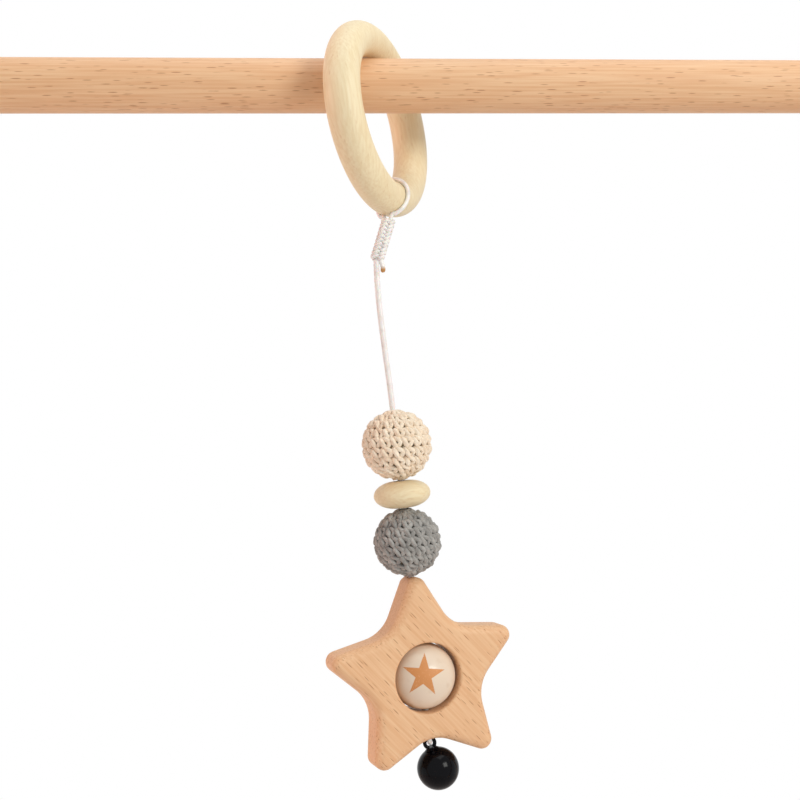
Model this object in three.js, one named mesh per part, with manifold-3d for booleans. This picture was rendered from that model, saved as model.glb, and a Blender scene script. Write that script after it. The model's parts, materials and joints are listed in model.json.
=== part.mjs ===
// An activity play gym: a folding beech A-frame that carries a round crossbar, and one toy that hangs
// from the bar on a wooden ring. Millimetres, +Z up, +X along the crossbar. The origin is on the floor,
// straight below the middle of the bar.
import * as THREE from "three";
import { mergeVertices } from "three/addons/utils/BufferGeometryUtils.js";
import Module from "manifold-3d";

const wasm = await Module();
wasm.setup();

// Fits
const seatGap = 0.3; // between two pieces that touch
const turningGap = 0.5; // round a bolt, in the leg that turns on it
const cutOverrun = 5; // how far a cutter runs past what it cuts

// Crossbar
const barDiameter = 19;
const barLength = 540;
const barHeight = 470; // its axis above the floor
const barEndRounding = 1.2;

// Legs, flat bars that meet on the end bolts
const legWidth = 32;
const legThickness = 15;
const legEdgeRounding = 2.6;
const legSpread = THREE.MathUtils.degToRad(24); // each leg, from upright
const outerLegHead = 40; // how far the outer leg rises past its bolt
const outerLegHeadRounding = 11;

// Rubber feet
const footThickness = 5;
const footInset = 1.2; // the rubber stops this far inside the end of the leg

// Bolts, threaded inserts and washers
const boltDiameter = 6;
const boltHeadDiameter = 15;
const boltHeadHeight = 3.2;
const boltHeadChamfer = 0.9;
const boltSocketAcrossFlats = 4;
const boltSocketDepth = 2;
const boltReach = 17; // how far the thread goes into the bar
const insertDiameter = 10;
const insertLength = 18;
const spacerDiameter = 17;
const spacerThickness = 1;
const washerDiameter = 18;
const washerThickness = 1.4;

// Wooden ring
const ringDiameter = 70;
const ringThickness = 12.6;
const ringYaw = THREE.MathUtils.degToRad(28.1); // its plane, from square to the bar
const ringTilt = THREE.MathUtils.degToRad(7.6);

// Lace: it goes round the ring, is whipped into a knot, threads every bead and holds the bell
const laceDiameter = 2;
const beadBore = 2.8;
const laceSides = 8;
const laceSteps = 44;
const hitchDiameter = 1.7; // the lace where it is drawn tight round the ring
const hitchSteps = 24;
const hitchTurnBelow = THREE.MathUtils.degToRad(-7); // round the ring, where the lace passes under it
const hitchTurnInside = THREE.MathUtils.degToRad(7); // and where it passes inside it
const knotTurns = 8;
const knotPitch = 1.5;
const knotLaceDiameter = 1.08;
const knotCoilRadius = 1.95; // to the middle of the lace
const knotDrop = 1.2; // from the swing point to the first turn
const knotLean = THREE.MathUtils.degToRad(-18);
const tailDiameter = 1.7;
const tailLength = 2.6;
const freeLength = 52.3; // from the knot to the first bead
const bendShare = 1 / 3; // of the free length, in which the lace keeps the direction of each end
const chainLean = THREE.MathUtils.degToRad(4.95);

// Beads
const creamCoreDiameter = 20;
const creamCoverThickness = 2.4;
const greyCoreDiameter = 19.2;
const greyCoverThickness = 2.3;
const crochetRows = 9;
const crochetRowDepth = 0.45;
const coverMouthDiameter = 5;
const discDiameter = 20;
const discThickness = 9.4;
const discRimHeight = 2.2;
const discFlatDiameter = 5.4;
const discCrownPower = 2.2; // 1 is a cone, and more is a fuller crown
const printedBeadDiameter = 23.2;

// Star
const starArms = 5;
const starTipRadius = 34.8;
const starTipRounding = 3.6;
const starCrotchRadius = 21.6;
const starCrotchRounding = 13;
const starThickness = 13;
const starEdgeRounding = 3.2;
const starHoleDiameter = 24.2;
const starHoleChamfer = 0.8;
const starTurn = THREE.MathUtils.degToRad(15); // about the lace
const starRecessDiameter = 6.4; // for the loop that holds the bell
const starRecessDepth = 3.2;

// Bell
const bellDiameter = 14.8;
const bellWall = 0.7;
const bellSlitWidth = 1.3;
const bellSlitRise = 5.2; // from the lowest point of the bell
const bellSlitEyeDiameter = 2.4;
const bellNeckDiameter = 3;
const bellEyeRadius = 1.75;
const bellEyeWire = 1.1;
const bellHang = 9.4; // from the middle of the eye to the middle of the bell
const bellLean = THREE.MathUtils.degToRad(12); // from the line of the lace
const bellLoopRadius = 1.9; // the loop of lace that goes through the eye
const bellLoopLace = 1.5;
const peaDiameter = 4.4;

const X = new THREE.Vector3(1, 0, 0);
const Y = new THREE.Vector3(0, 1, 0);
const Z = new THREE.Vector3(0, 0, 1);
const flat = new THREE.Vector2();

const finishes = {
  beech: { color: 0xdcae82, roughness: 0.55, metalness: 0 },
  maple: { color: 0xe8d3a6, roughness: 0.5, metalness: 0 },
  lace: { color: 0xf1efec, roughness: 0.45, metalness: 0 },
  singedLace: { color: 0xc9a978, roughness: 0.5, metalness: 0 },
  creamYarn: { color: 0xe9d3ba, roughness: 0.9, metalness: 0 },
  greyYarn: { color: 0x95938f, roughness: 0.9, metalness: 0 },
  paleBead: { color: 0xe3cfb6, roughness: 0.45, metalness: 0 },
  blackEnamel: { color: 0x0c0c10, roughness: 0.12, metalness: 0.4 },
  steel: { color: 0xb9bcc0, roughness: 0.3, metalness: 1 },
  nylon: { color: 0xe9e6de, roughness: 0.5, metalness: 0 },
  rubber: { color: 0xcfc7b8, roughness: 0.8, metalness: 0 },
};

function addPiece(parent, name, geometry, finish) {
  const mesh = new THREE.Mesh(geometry, new THREE.MeshStandardMaterial(finishes[finish]));
  mesh.name = name;
  parent.add(mesh);
}

function solid(geometry) {
  const bare = new THREE.BufferGeometry();
  bare.setAttribute("position", geometry.getAttribute("position"));
  if (geometry.index) bare.setIndex(geometry.index);
  const merged = mergeVertices(bare, 1e-4);
  return new wasm.Manifold(
    new wasm.Mesh({
      numProp: 3,
      vertProperties: merged.attributes.position.array,
      triVerts: new Uint32Array(merged.index.array),
    }),
  );
}

function geometryOf(manifold) {
  const mesh = manifold.getMesh();
  const geometry = new THREE.BufferGeometry();
  geometry.setAttribute("position", new THREE.BufferAttribute(mesh.vertProperties, 3));
  geometry.setIndex(new THREE.BufferAttribute(mesh.triVerts, 1));
  return geometry;
}

function cut(geometry, ...cutters) {
  return geometryOf(cutters.reduce((body, cutter) => body.subtract(solid(cutter)), solid(geometry)));
}

function join(geometry, ...others) {
  return geometryOf(others.reduce((body, other) => body.add(solid(other)), solid(geometry)));
}

// Turns a profile of [radius, height] points round Z. It runs up the outside, and closes on itself or on Z.
function turned(profile, segments) {
  const points = profile.map(([radius, height]) => new THREE.Vector2(radius, height));
  const onAxis = profile[0][0] === 0;
  const geometry = new THREE.LatheGeometry(onAxis ? points : [...points, points[0]], segments);
  return geometry.rotateX(Math.PI / 2);
}

// A round bar along Z, from one height to another.
function rod(diameter, from, to, segments = 20) {
  const geometry = new THREE.CylinderGeometry(diameter / 2, diameter / 2, to - from, segments);
  return geometry.rotateX(Math.PI / 2).translate(0, 0, (from + to) / 2);
}

// A flat ring round Z.
function washer(outer, inner, from, thickness) {
  const profile = [
    [inner / 2, from],
    [outer / 2, from],
    [outer / 2, from + thickness],
    [inner / 2, from + thickness],
  ];
  return turned(profile, 16);
}

// Points on an arc, from one angle to another.
function arc(centre, radius, from, to, steps) {
  return Array.from({ length: steps + 1 }, (_, i) => {
    const angle = from + ((to - from) * i) / steps;
    return new THREE.Vector2(centre.x + radius * Math.cos(angle), centre.y + radius * Math.sin(angle));
  });
}

// The same arc as [radius, height] points of a profile.
function profileArc(radius, height, rounding, from, to, steps) {
  return arc(new THREE.Vector2(radius, height), rounding, from, to, steps).map((p) => [p.x, p.y]);
}

// A plate of the given outline, centred on its thickness, with its edges rounded over.
function plate(outline, thickness, rounding, roundingSteps) {
  const geometry = new THREE.ExtrudeGeometry(new THREE.Shape(outline), {
    depth: thickness - 2 * rounding,
    bevelEnabled: true,
    bevelThickness: rounding,
    bevelSize: rounding,
    bevelOffset: -rounding,
    bevelSegments: roundingSteps,
  });
  return geometry.translate(0, 0, rounding - thickness / 2);
}

// A tube along a curve.
function tube(curve, diameter, steps, sides) {
  const lastSide = (2 * Math.PI * (sides - 1)) / sides;
  const section = new THREE.Shape(arc(flat, diameter / 2, 0, lastSide, sides - 1));
  return new THREE.ExtrudeGeometry(section, { steps, bevelEnabled: false, extrudePath: curve });
}

// Frame. The pieces on each end bolt are stacked outwards from the end of the bar.
const innerSpacerX = barLength / 2 + seatGap;
const innerLegX = innerSpacerX + spacerThickness + seatGap;
const outerSpacerX = innerLegX + legThickness + seatGap;
const outerLegX = outerSpacerX + spacerThickness + seatGap;
const washerX = outerLegX + legThickness + seatGap;
const boltHeadX = washerX + washerThickness + seatGap;
const boltClearance = boltDiameter + 2 * seatGap;

function crossbar() {
  const radius = barDiameter / 2;
  const half = barLength / 2;
  const shoulder = half - barEndRounding;
  const profile = [
    [0, -half],
    ...profileArc(radius - barEndRounding, -shoulder, barEndRounding, -Math.PI / 2, 0, 3),
    ...profileArc(radius - barEndRounding, shoulder, barEndRounding, 0, Math.PI / 2, 3),
    [0, half],
  ];
  const depth = Math.max(insertLength, boltReach) + seatGap;
  const socket = rod(insertDiameter + 2 * seatGap, half - depth, half + cutOverrun, 16);
  const otherSocket = socket.clone().rotateX(Math.PI);
  return cut(turned(profile, 28), socket, otherSocket);
}

function insert() {
  return washer(insertDiameter, boltClearance, barLength / 2 - insertLength, insertLength);
}

function bolt() {
  const top = boltHeadX + boltHeadHeight;
  const radius = boltHeadDiameter / 2;
  const head = [
    [0, boltHeadX],
    [radius, boltHeadX],
    [radius, top - boltHeadChamfer],
    [radius - boltHeadChamfer, top],
    [0, top],
  ];
  const shaft = rod(boltDiameter, barLength / 2 - boltReach, boltHeadX + boltHeadHeight / 2, 16);
  const acrossCorners = boltSocketAcrossFlats / Math.cos(Math.PI / 6);
  return cut(join(turned(head, 20), shaft), rod(acrossCorners, top - boltSocketDepth, top + cutOverrun, 6));
}

// A leg's outlines are drawn across the bar, with the bolt at zero. They lean towards the rear foot.
const downLeg = new THREE.Vector2(Math.sin(legSpread), -Math.cos(legSpread));
const acrossLeg = new THREE.Vector2(Math.cos(legSpread), Math.sin(legSpread));

// A point at a distance across the leg and a distance up it.
function onLeg(across, up) {
  return acrossLeg.clone().multiplyScalar(across).addScaledVector(downLeg, -up);
}

function footLine(across) {
  const edge = onLeg(across, 0);
  const floor = footThickness + seatGap - barHeight;
  return edge.addScaledVector(downLeg, (floor - edge.y) / downLeg.y);
}

function headArcs(up, rounding, steps) {
  const across = legWidth / 2 - rounding;
  const height = up - rounding;
  const top = legSpread + Math.PI / 2;
  const rear = arc(onLeg(across, height), rounding, legSpread, top, steps);
  const front = arc(onLeg(-across, height), rounding, top, legSpread + Math.PI, steps);
  return across > 0 ? [...rear, ...front] : [...rear, ...front.slice(1)];
}

function leg(head, headRounding) {
  const half = legWidth / 2;
  const outline = [footLine(-half), footLine(half), ...headArcs(head, headRounding, 6)];
  const body = plate(outline, legThickness, legEdgeRounding, 2);
  return cut(body, rod(boltDiameter + 2 * turningGap, -legThickness, legThickness, 20));
}

// The block beside the outer leg's head. The front edge of the inner leg comes to rest against its slope.
function stopBlock() {
  const half = legWidth / 2;
  const clear = half + seatGap;
  const opening = 2 * legSpread;
  const touch = (clear - half * Math.cos(opening)) / Math.sin(opening);
  const slopeEnd = Math.PI - opening;
  const round = arc(flat, clear, slopeEnd, Math.PI / 4, 8);
  const hollow = round.map((p) => onLeg(p.x, p.y));
  const shelf = onLeg(half, clear * Math.sin(Math.PI / 4));
  const outline = [onLeg(-half, touch), ...hollow, shelf, ...headArcs(outerLegHead, outerLegHeadRounding, 6)];
  const thickness = outerLegX - seatGap - innerLegX;
  return new THREE.ExtrudeGeometry(new THREE.Shape(outline), { depth: thickness, bevelEnabled: false });
}

function foot() {
  const half = legWidth / 2;
  const front = footLine(-half).x + footInset;
  const rear = footLine(half).x - footInset;
  const depth = legThickness - 2 * footInset;
  return new THREE.BoxGeometry(rear - front, footThickness, depth).translate(
    (front + rear) / 2,
    footThickness / 2 - barHeight,
    0,
  );
}

// Turns a piece drawn across the bar to stand in place, with its thickness along the bar.
const acrossBar = new THREE.Matrix4().makeBasis(Y, Z, X);

function addSide(gym, side, name) {
  const end = new THREE.Group();
  end.position.z = barHeight;
  gym.add(end);
  const alongBar = (geometry) => geometry.rotateY((side * Math.PI) / 2);
  const upright = (geometry, near, thickness) => {
    const middle = side * (near + thickness / 2);
    return geometry.applyMatrix4(acrossBar).translate(middle, 0, 0);
  };
  const toFront = (geometry) => geometry.rotateY(Math.PI);
  const add = (piece, geometry, finish) => addPiece(end, name + "_" + piece, geometry, finish);
  const ringAt = (diameter, near, thickness) => alongBar(washer(diameter, boltClearance, near, thickness));
  const outerLeg = leg(outerLegHead, outerLegHeadRounding);
  const innerLeg = toFront(leg(legWidth / 2, legWidth / 2));
  add("insert", alongBar(insert()), "steel");
  add("bolt", alongBar(bolt()), "steel");
  add("bolt_washer", ringAt(washerDiameter, washerX, washerThickness), "steel");
  add("inner_spacer", ringAt(spacerDiameter, innerSpacerX, spacerThickness), "nylon");
  add("outer_spacer", ringAt(spacerDiameter, outerSpacerX, spacerThickness), "nylon");
  add("outer_leg", upright(outerLeg, outerLegX, legThickness), "beech");
  add("outer_foot", upright(foot(), outerLegX, legThickness), "rubber");
  add("inner_leg", upright(innerLeg, innerLegX, legThickness), "beech");
  add("inner_foot", upright(toFront(foot()), innerLegX, legThickness), "rubber");
  const blockThickness = outerLegX - seatGap - innerLegX;
  const block = stopBlock().translate(0, 0, -blockThickness / 2);
  add("stop_block", upright(block, innerLegX, blockThickness), "beech");
}

// Ring. It hangs on the top of the bar, and its own directions are its normal, its level line and its rise.
const ringRadius = (ringDiameter - ringThickness) / 2;
const ringNormal = new THREE.Vector3(
  Math.cos(ringTilt) * Math.cos(ringYaw),
  -Math.cos(ringTilt) * Math.sin(ringYaw),
  Math.sin(ringTilt),
);
const ringLevel = new THREE.Vector3(Math.sin(ringYaw), Math.cos(ringYaw), 0);
const ringRise = new THREE.Vector3().crossVectors(ringNormal, ringLevel);

// A point on the middle line of the ring, at an angle from its lowest point.
function onRing(angle) {
  return new THREE.Vector3()
    .addScaledVector(ringRise, -ringRadius * Math.cos(angle))
    .addScaledVector(ringLevel, ringRadius * Math.sin(angle));
}

// How far the middle of the ring hangs below the bar's axis: as low as the ring can lie on the bar.
function ringHang() {
  const apart = (barDiameter + ringThickness) / 2 + seatGap;
  const clearOfBar = (drop) => {
    const steps = 360;
    for (let i = 0; i < steps; i++) {
      const p = onRing((2 * Math.PI * i) / steps);
      if (Math.hypot(p.y, p.z - drop) < apart) return false;
    }
    return true;
  };
  let [high, low] = [0, ringRadius];
  const halvings = 30;
  for (let i = 0; i < halvings; i++) {
    const middle = (high + low) / 2;
    if (clearOfBar(middle)) high = middle;
    else low = middle;
  }
  return high;
}

const ringCentre = new THREE.Vector3(0, 0, barHeight - ringHang());

function ring() {
  const turn = new THREE.Matrix4().makeBasis(ringLevel, ringRise, ringNormal);
  return new THREE.TorusGeometry(ringRadius, ringThickness / 2, 12, 40)
    .applyMatrix4(turn)
    .translate(ringCentre.x, ringCentre.y, ringCentre.z);
}

// How far the lace lies from the middle line of the ring, and half the angle between its two ends.
const hitchReach = (ringThickness + hitchDiameter) / 2 + seatGap;
const hitchOpening = Math.asin(seatGap / hitchReach);

// The lace drawn round the ring, at an angle round the section of the ring, counted from below.
function onHitch(section) {
  const middle = (hitchTurnBelow + hitchTurnInside) / 2;
  const swing = (hitchTurnInside - hitchTurnBelow) / 2;
  const turn = middle - swing * Math.cos(section);
  const centre = onRing(turn);
  const outwards = centre.clone().normalize();
  return centre
    .addScaledVector(outwards, hitchReach * Math.cos(section))
    .addScaledVector(ringNormal, hitchReach * Math.sin(section))
    .add(ringCentre);
}

function hitch() {
  const last = 2 * Math.PI - hitchOpening;
  const points = Array.from({ length: hitchSteps + 1 }, (_, i) =>
    onHitch(hitchOpening + ((last - hitchOpening) * i) / hitchSteps),
  );
  return tube(new THREE.CatmullRomCurve3(points), hitchDiameter, hitchSteps, laceSides);
}

// The point that the toy swings on, just below the ends of the hitch, and the line of the knot from there.
const swingPoint = onHitch(0).addScaledVector(Z, -(hitchDiameter + laceDiameter) / 2 - seatGap);
const downKnot = new THREE.Vector3(Math.sin(knotLean), 0, -Math.cos(knotLean));
const knotLength = knotTurns * knotPitch;
const knotEnd = swingPoint.clone().addScaledVector(downKnot, knotDrop + knotLength + knotLaceDiameter);
const downChain = new THREE.Vector3(Math.sin(chainLean), 0, -Math.cos(chainLean));
const firstBeadTop = knotEnd.clone().addScaledVector(downChain, freeLength);

// The knot's turns: a helix round the lace, as rings of points joined into one tube.
function helixTube(radius, pitch, turns, diameter, stepsPerTurn, sides) {
  const steps = turns * stepsPerTurn;
  const climb = Math.atan2(pitch, 2 * Math.PI * radius);
  const positions = [];
  const middles = [];
  for (let i = 0; i <= steps; i++) {
    const angle = (2 * Math.PI * i) / stepsPerTurn;
    const out = new THREE.Vector3(Math.cos(angle), Math.sin(angle), 0);
    const along = new THREE.Vector3(-Math.sin(angle), Math.cos(angle), 0);
    const rise = Z.clone().multiplyScalar(Math.cos(climb)).addScaledVector(along, -Math.sin(climb));
    const middle = out.clone().multiplyScalar(radius).addScaledVector(Z, (pitch * i) / stepsPerTurn);
    middles.push(middle);
    for (let k = 0; k < sides; k++) {
      const around = (2 * Math.PI * k) / sides;
      const point = middle
        .clone()
        .addScaledVector(out, (diameter / 2) * Math.cos(around))
        .addScaledVector(rise, (diameter / 2) * Math.sin(around));
      positions.push(point.x, point.y, point.z);
    }
  }
  const faces = [];
  for (let i = 0; i < steps; i++)
    for (let k = 0; k < sides; k++) {
      const [a, b] = [i * sides + k, i * sides + ((k + 1) % sides)];
      faces.push(a, a + sides, b, b, a + sides, b + sides);
    }
  const last = steps * sides;
  for (let k = 1; k < sides - 1; k++) faces.push(0, k, k + 1, last, last + k + 1, last + k);
  const geometry = new THREE.BufferGeometry();
  geometry.setAttribute("position", new THREE.Float32BufferAttribute(positions, 3));
  geometry.setIndex(faces);
  return { geometry, middles };
}

// The least gap between two stretches of a coiled tube that are at least half a turn apart.
function leastGap(middles, diameter, stepsPerTurn) {
  let least = Infinity;
  for (let i = 0; i < middles.length; i++)
    for (let j = i + stepsPerTurn / 2; j < middles.length; j++)
      least = Math.min(least, middles[i].distanceTo(middles[j]));
  return least - diameter;
}

// Turns a piece drawn down from zero along -Z to hang from a point, with a lean towards +X.
function hangFrom(point, lean) {
  const group = new THREE.Group();
  group.position.copy(point);
  group.rotation.y = -lean;
  return group;
}

function addKnot(gym) {
  const knot = hangFrom(swingPoint, knotLean);
  gym.add(knot);
  const stepsPerTurn = 18;
  const coil = helixTube(knotCoilRadius, knotPitch, knotTurns, knotLaceDiameter, stepsPerTurn, 5);
  const gap = leastGap(coil.middles, knotLaceDiameter, stepsPerTurn);
  console.log("least gap in the knot", gap.toFixed(2), "mm");
  const lastTurn = knotDrop + knotLength + knotLaceDiameter / 2;
  addPiece(knot, "lace_knot", coil.geometry.translate(0, 0, -lastTurn), "lace");
  const beside = (laceDiameter + tailDiameter) / 2 + 2 * seatGap;
  const below = seatGap + (tailDiameter / 2) * Math.sin(Math.abs(knotLean));
  const top = knotEnd.clone().addScaledVector(downKnot, below);
  top.add(new THREE.Vector3(-downKnot.z, 0, downKnot.x).multiplyScalar(beside));
  const tail = rod(tailDiameter, -tailLength, 0, laceSides).translate(top.x, top.y, top.z);
  addPiece(gym, "lace_tail", tail, "singedLace");
}

// Beads and star, each at its own distance below the top of the first bead.
const creamRadius = creamCoreDiameter / 2 + creamCoverThickness;
const greyRadius = greyCoreDiameter / 2 + greyCoverThickness;
const creamDrop = creamRadius;
const discDrop = creamDrop + creamRadius + seatGap + discThickness / 2;
const greyDrop = discDrop + discThickness / 2 + seatGap + greyRadius;
const starDrop = greyDrop + greyRadius + seatGap + starTipRadius;
const bellLoopDrop = starDrop + starCrotchRadius + seatGap;
const bellPivotDrop = bellLoopDrop + bellLoopRadius; // where the eye hangs on the loop
const bellEyeDrop = bellEyeRadius - (bellEyeWire + bellLoopLace) / 2 - seatGap; // from there to the eye

// The lace from the swing point through the knot, free to the first bead, then straight through the rest.
function lace() {
  const leaving = knotEnd.clone().addScaledVector(Z, -freeLength * bendShare);
  const arriving = firstBeadTop.clone().addScaledVector(downChain, -freeLength * bendShare);
  const end = firstBeadTop.clone().addScaledVector(downChain, bellLoopDrop - bellLoopRadius);
  const route = new THREE.CurvePath();
  route.add(new THREE.LineCurve3(swingPoint, knotEnd));
  route.add(new THREE.CubicBezierCurve3(knotEnd, leaving, arriving, firstBeadTop));
  route.add(new THREE.LineCurve3(firstBeadTop, end));
  const { x, y, z } = swingPoint;
  const roundEnd = new THREE.SphereGeometry(laceDiameter / 2, laceSides, laceSides / 2).translate(x, y, z);
  const { x: loopX, y: loopY, z: loopZ } = firstBeadTop.clone().addScaledVector(downChain, bellLoopDrop);
  const loop = new THREE.TorusGeometry(bellLoopRadius, bellLoopLace / 2, 6, 14)
    .rotateY(Math.PI / 2 - chainLean)
    .translate(loopX, loopY, loopZ);
  return join(tube(route, laceDiameter, laceSteps, laceSides), roundEnd, loop);
}

// A round bead with a bore through it along Z.
function bead(diameter, segments, steps) {
  const reach = Math.acos(beadBore / diameter);
  return turned(profileArc(0, 0, diameter / 2, -reach, reach, steps), segments);
}

// A crocheted cover: a shell round a core bead, with a swell for each row and a mouth at each end.
function crochetCover(coreDiameter, thickness) {
  const inside = coreDiameter / 2 + seatGap;
  const outside = coreDiameter / 2 + thickness;
  const mouth = coverMouthDiameter / 2;
  const reach = Math.acos(mouth / outside);
  const steps = 2 * crochetRows;
  const rows = Array.from({ length: steps + 1 }, (_, i) => {
    const angle = reach * ((2 * i) / steps - 1);
    const radius = outside - (i % 2 ? 0 : crochetRowDepth);
    return [radius * Math.cos(angle), radius * Math.sin(angle)];
  });
  const innerReach = Math.acos(mouth / inside);
  const lining = profileArc(0, 0, inside, innerReach, -innerReach, 6);
  return turned([...rows, ...lining], 20);
}

// A lens-shaped bead with a small flat round its bore and a narrow rim.
function discBead() {
  const [flatRadius, rim, half] = [discFlatDiameter / 2, discDiameter / 2, discThickness / 2];
  const steps = 5;
  const crown = Array.from({ length: steps + 1 }, (_, i) => {
    const share = i / steps;
    const height = discRimHeight / 2 + (half - discRimHeight / 2) * (1 - share ** discCrownPower);
    return [flatRadius + (rim - flatRadius) * share, height];
  });
  const below = crown.map(([radius, height]) => [radius, -height]);
  return turned([[beadBore / 2, -half], ...below, ...crown.reverse(), [beadBore / 2, half]], 24);
}

// The star's outline: an arc at each tip, an arc at each crotch, and straight sides that touch both.
function starOutline() {
  const half = Math.PI / starArms;
  const tip = new THREE.Vector2(starTipRadius - starTipRounding, 0);
  const crotchMiddle = starCrotchRadius + starCrotchRounding;
  const crotch = new THREE.Vector2(crotchMiddle * Math.cos(half), crotchMiddle * Math.sin(half));
  const between = crotch.clone().sub(tip);
  const normal = between.angle() - Math.acos((starTipRounding + starCrotchRounding) / between.length());
  const oneArm = [
    ...arc(tip, starTipRounding, -normal, normal, 6),
    ...arc(crotch, starCrotchRounding, Math.PI + normal, Math.PI + 2 * half - normal, 4),
  ];
  return Array.from({ length: starArms }, (_, i) =>
    oneArm.map((p) => p.clone().rotateAround(flat, Math.PI / 2 + 2 * half * i)),
  ).flat();
}

function star() {
  const half = starThickness / 2;
  const radius = starHoleDiameter / 2;
  const hole = [
    [0, -half - cutOverrun],
    [radius + starHoleChamfer, -half - cutOverrun],
    [radius + starHoleChamfer, -half],
    [radius, starHoleChamfer - half],
    [radius, half - starHoleChamfer],
    [radius + starHoleChamfer, half],
    [radius + starHoleChamfer, half + cutOverrun],
    [0, half + cutOverrun],
  ];
  const facingFront = new THREE.Matrix4().makeBasis(X, Z, Y.clone().negate());
  const pierced = cut(plate(starOutline(), starThickness, starEdgeRounding, 2), turned(hole, 32));
  const recessTop = starRecessDepth - starCrotchRadius;
  return cut(
    pierced.applyMatrix4(facingFront),
    rod(beadBore, -starTipRadius - cutOverrun, starTipRadius + cutOverrun, 12),
    rod(starRecessDiameter, -starTipRadius, recessTop, 16),
  ).rotateZ(starTurn);
}

// A jingle bell round zero: a thin ball with one slit below and a wire eye above.
function bell() {
  const outside = bellDiameter / 2;
  const ball = new THREE.SphereGeometry(outside, 18, 12).rotateX(Math.PI / 2);
  const hollow = new THREE.SphereGeometry(outside - bellWall, 18, 12).rotateX(Math.PI / 2);
  const eye = new THREE.TorusGeometry(bellEyeRadius, bellEyeWire / 2, 6, 14).rotateX(Math.PI / 2);
  const neck = rod(bellNeckDiameter, outside - 2 * bellWall, bellHang - bellEyeRadius, 12);
  const slitTop = bellSlitRise - outside;
  const long = 2 * (outside + cutOverrun);
  const slit = new THREE.BoxGeometry(long, bellSlitWidth, 2 * outside);
  const slitEnds = rod(bellSlitEyeDiameter, -long / 2, long / 2, 10).rotateY(Math.PI / 2);
  return cut(
    join(ball, neck, eye.translate(0, 0, bellHang)),
    hollow,
    slit.translate(0, 0, slitTop - outside),
    slitEnds.translate(0, 0, slitTop),
  );
}

function addChain(gym) {
  const chain = hangFrom(firstBeadTop, chainLean);
  gym.add(chain);
  const at = (geometry, drop) => geometry.translate(0, 0, -drop);
  const creamCover = crochetCover(creamCoreDiameter, creamCoverThickness);
  const greyCover = crochetCover(greyCoreDiameter, greyCoverThickness);
  addPiece(chain, "cream_bead_core", at(bead(creamCoreDiameter, 16, 8), creamDrop), "maple");
  addPiece(chain, "cream_bead_cover", at(creamCover, creamDrop), "creamYarn");
  addPiece(chain, "disc_bead", at(discBead(), discDrop), "maple");
  addPiece(chain, "grey_bead_core", at(bead(greyCoreDiameter, 16, 8), greyDrop), "maple");
  addPiece(chain, "grey_bead_cover", at(greyCover, greyDrop), "greyYarn");
  addPiece(chain, "star", at(star(), starDrop), "beech");
  addPiece(chain, "printed_bead", at(bead(printedBeadDiameter, 24, 12), starDrop), "paleBead");
  const hanging = new THREE.Group();
  hanging.position.z = -bellPivotDrop;
  hanging.rotation.y = -bellLean;
  chain.add(hanging);
  const bellDrop = bellEyeDrop + bellHang;
  addPiece(hanging, "bell", at(bell(), bellDrop), "blackEnamel");
  const peaDrop = bellDrop + bellDiameter / 2 - bellWall - seatGap - peaDiameter / 2;
  addPiece(hanging, "bell_pea", at(new THREE.SphereGeometry(peaDiameter / 2, 10, 6), peaDrop), "steel");
}

const gym = new THREE.Group();
addPiece(gym, "crossbar", crossbar().rotateY(Math.PI / 2).translate(0, 0, barHeight), "beech");
addSide(gym, -1, "left");
addSide(gym, 1, "right");
addPiece(gym, "ring", ring(), "maple");
addPiece(gym, "lace_hitch", hitch(), "lace");
addPiece(gym, "lace", lace(), "lace");
addKnot(gym);
addChain(gym);

export default gym;
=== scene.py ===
"""An activity play gym: the folding beech frame, and the toy that hangs from its bar on a wooden ring."""

import json
import logging
import math
import random
from collections.abc import Callable, Sequence
from dataclasses import dataclass
from enum import Enum, StrEnum

import bpy
from mathutils import Matrix, Vector


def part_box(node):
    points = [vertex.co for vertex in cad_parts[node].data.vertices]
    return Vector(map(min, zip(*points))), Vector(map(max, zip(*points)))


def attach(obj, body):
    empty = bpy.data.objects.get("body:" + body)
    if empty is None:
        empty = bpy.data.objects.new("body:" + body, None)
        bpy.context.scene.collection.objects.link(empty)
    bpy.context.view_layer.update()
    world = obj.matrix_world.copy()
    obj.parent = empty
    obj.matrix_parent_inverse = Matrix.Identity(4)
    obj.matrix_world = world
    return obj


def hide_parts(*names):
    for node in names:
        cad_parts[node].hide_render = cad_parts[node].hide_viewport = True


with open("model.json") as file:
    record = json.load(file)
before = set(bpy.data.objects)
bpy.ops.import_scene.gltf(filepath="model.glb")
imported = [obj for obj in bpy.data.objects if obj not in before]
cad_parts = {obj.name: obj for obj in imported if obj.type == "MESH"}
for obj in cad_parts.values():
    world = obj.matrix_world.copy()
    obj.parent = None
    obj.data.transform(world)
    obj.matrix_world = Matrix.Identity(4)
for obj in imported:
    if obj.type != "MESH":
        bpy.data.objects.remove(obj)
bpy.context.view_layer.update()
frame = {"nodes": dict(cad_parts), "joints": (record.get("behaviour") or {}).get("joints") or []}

MM = 0.001
UP = Vector((0, 0, 1))
ALONG_BAR = Vector((1, 0, 0))
TO_BACK = Vector((0, 1, 0))
LOG = logging.getLogger("play_gym")

WHITE = (1.0, 1.0, 1.0, 1.0)

Pair = tuple[float, float]
Triple = tuple[float, float, float]
Relief = Callable[[float, float], float]


def linear(hex_colour: int) -> tuple[float, float, float, float]:
    """Turns a written colour such as 0xdcae82 into the linear values that a shader takes.

    Args:
        hex_colour: red, green and blue, a byte each.

    Returns:
        Linear red, green and blue, and a full alpha.
    """
    shares = [((hex_colour >> shift) & 255) / 255 for shift in (16, 8, 0)]
    knee, slope, offset, power = 0.04045, 12.92, 0.055, 2.4
    values = [c / slope if c <= knee else ((c + offset) / (1 + offset)) ** power for c in shares]
    return values[0], values[1], values[2], 1.0


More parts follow.
